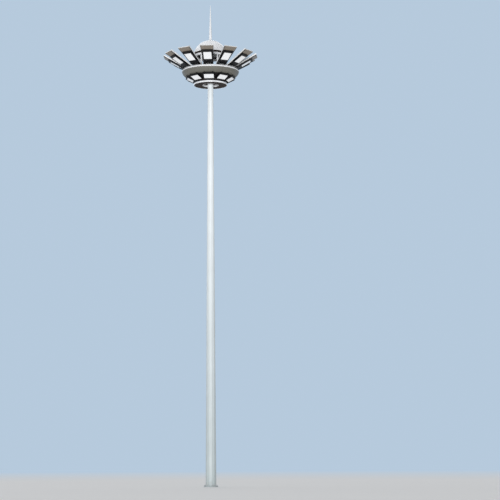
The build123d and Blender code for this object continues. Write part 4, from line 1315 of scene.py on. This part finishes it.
class TOWER_OT_rope_anchors(bpy.types.Operator):
    """Spring, washer, nuts and socket at each rope's end on the deck"""
    bl_idname = "tower.rope_anchors"
    bl_label = "Rope anchor fittings"

    def execute(self, context):
        sizes = context.scene.saucer_sizes
        ropes, flange, high = 3, 0.012, 0.078
        seat = at(x=sizes.anchor_radius, z=top("saucer_deck"))
        places = each(ring(ropes, 30), [seat])
        fit_all(self.spring(flange, high), places, "carriage", "stainless")
        fit_all(self.caps(flange, high), places, "carriage", "galvanised")
        return {"FINISHED"}

    def spring(self, low, high):
        """Coil spring between two heights, with its wire's ends closed."""
        turns, wire, coil = 6, 0.0042, 0.0365
        spring = start("circle", "anchor_springs", vertices=8, radius=wire, turned=(math.pi / 2, 0, 0),
                       centre=(coil, 0, low + wire))
        steps = 18 * turns
        applied(spring, "SCREW", angle=2 * math.pi * turns, screw_offset=high - low - 2 * wire,
                steps=steps, render_steps=steps, use_smooth_shade=True)
        with editing(spring):
            bpy.ops.mesh.fill_holes(sides=0)
            outwards()
        return spring

    def caps(self, flange, high):
        """Washer and nut over the spring, rope socket above them, bolts through the flange."""
        washer, nut, reach = high + 0.007, high + 0.024, 0.037
        socket, neck, tip = 0.109, 0.136, 0.160
        caps = stacked("anchor_caps", [
            (24, 0.046, high, washer, 0.0015),
            (6, 0.040, washer, nut, 0.003),
            (16, 0.014, socket, neck, 0.002),
            (16, 0.0095, neck, tip, 0.002),
        ])
        feet = spread(bolt_head("bolt", 0.009), grid((-reach, reach), (-reach, reach), flange))
        return joined("anchor_caps", [caps, feet])


class TOWER_OT_stage(bpy.types.Operator):
    """Camera, soft studio light, pale floor and backdrop"""
    bl_idname = "tower.stage"
    bl_label = "Stage"

    def execute(self, context):
        look = context.scene.stage_look
        self.camera(context, look)
        self.sun(context, "key_light", look.key, look.key_side, look.key_height, look.key_spread)
        self.sun(context, "back_light", look.back, look.back_side, look.back_height, look.back_spread)
        self.world(context, look)
        self.floor(look)
        context.scene.view_settings.view_transform = "Standard"
        return {"FINISHED"}

    def camera(self, context, look):
        lens = bpy.data.cameras.new("camera")
        lens.lens = look.lens
        lens.sensor_width = 36.0
        lens.clip_end = 2000.0
        seat = bpy.data.objects.new("camera", lens)
        context.scene.collection.objects.link(seat)
        heading = look.side - look.yaw
        level = math.cos(look.pitch)
        ahead = Vector((-math.sin(heading) * level, math.cos(heading) * level, math.sin(look.pitch)))
        right = ahead.cross(Vector((0, 0, 1))).normalized()
        up = right.cross(ahead)
        cos, sin = math.cos(look.roll), math.sin(look.roll)
        eye = Vector((look.distance * math.sin(look.side), -look.distance * math.cos(look.side), look.eye))
        seat.matrix_world = plane_matrix(right * cos + up * sin, up * cos - right * sin, -ahead, eye)
        context.scene.camera = seat

    def sun(self, context, name, strength, side, height, width):
        light = bpy.data.lights.new(name, "SUN")
        light.energy = strength
        light.angle = width
        lamp = bpy.data.objects.new(name, light)
        context.scene.collection.objects.link(lamp)
        level = math.cos(height)
        towards = Vector((-math.sin(side) * level, -math.cos(side) * level, math.sin(height)))
        lamp.rotation_euler = towards.to_track_quat("Z", "Y").to_euler()

    def world(self, context, look):
        """Even sky light, and the backdrop's colour where the background shows."""
        world = bpy.data.worlds.new("studio")
        context.scene.world = world
        world.use_nodes = True
        graph = Graph(world.node_tree)
        seen = graph.background_rays()
        back = world.node_tree.nodes["Background"]
        feed(graph.tree, back.inputs["Color"], graph.mixed((1.0, 1.0, 1.0), look.backdrop, seen))
        feed(graph.tree, back.inputs["Strength"], seen * (1.0 - look.sky) + look.sky)

    def floor(self, look):
        """Wide disc that fades into the backdrop and casts no shadow on the tower."""
        radius, border = 400.0, 250.0
        fade_start, fade_end = 35.0, 150.0
        disc = start("circle", "floor", vertices=96, radius=radius, fill_type="NGON")
        with editing(disc):
            bpy.ops.mesh.inset(thickness=border)
        ground = Finish("pale_floor", {"Roughness": 0.9, "Specular IOR Level": 0.1})
        ground.use("Base Color", ground.shaded(look.floor, 0.97, ground.noise(0.35, 4.0)))
        far = ground.radius().ramp(fade_start, fade_end)
        glow = ground.node("Emission", inputs={"Color": look.backdrop, "Strength": 1.0})
        shader = Signal(ground.tree, ground.shader.outputs[0])
        blend = ground.node("MixShader", inputs={0: far * ground.background_rays(), 1: shader, 2: glow})
        ground.tree.links.new(blend.output, ground.tree.nodes["Material Output"].inputs["Surface"])
        disc.data.materials.append(ground.material)
        disc.visible_shadow = False


# Panel and registration

class TOWER_PT_panel(bpy.types.Panel):
    """Buttons for each group of pieces, and their sizes"""
    bl_idname = "TOWER_PT_panel"
    bl_label = "Floodlight tower"
    bl_space_type = "VIEW_3D"
    bl_region_type = "UI"
    bl_category = "Floodlight tower"

    def draw(self, context):
        for step in STEPS:
            self.layout.operator(step.bl_idname)
        for name in GROUPS:
            group = getattr(context.scene, name)
            box = self.layout.box()
            for key in group.__annotations__:
                box.prop(group, key)


STEPS = (
    TOWER_OT_solid_finishes,
    TOWER_OT_anchor_bolts,
    TOWER_OT_shaft_welds,
    TOWER_OT_door_fittings,
    TOWER_OT_dome_fittings,
    TOWER_OT_head_fittings,
    TOWER_OT_crown_fittings,
    TOWER_OT_petal_hems,
    TOWER_OT_petal_trays,
    TOWER_OT_upper_lamps,
    TOWER_OT_lower_lamps,
    TOWER_OT_saucer_fittings,
    TOWER_OT_guide_nuts,
    TOWER_OT_rope_anchors,
    TOWER_OT_stage,
)
GROUPS = {
    "tower_colours": TowerColours,
    "base_sizes": BaseSizes,
    "head_sizes": HeadSizes,
    "petal_sizes": PetalSizes,
    "saucer_sizes": SaucerSizes,
    "stage_look": StageLook,
}
CLASSES = (*GROUPS.values(), *STEPS, TOWER_PT_panel)


def register():
    for entry in CLASSES:
        bpy.utils.register_class(entry)
    for name, group in GROUPS.items():
        setattr(bpy.types.Scene, name, PointerProperty(type=group))


def unregister():
    for name in GROUPS:
        delattr(bpy.types.Scene, name)
    for entry in reversed(CLASSES):
        bpy.utils.unregister_class(entry)


def main():
    register()
    for step in STEPS:
        family, action = step.bl_idname.split(".")
        getattr(getattr(bpy.ops, family), action)()


if __name__ == "__main__":
    main()
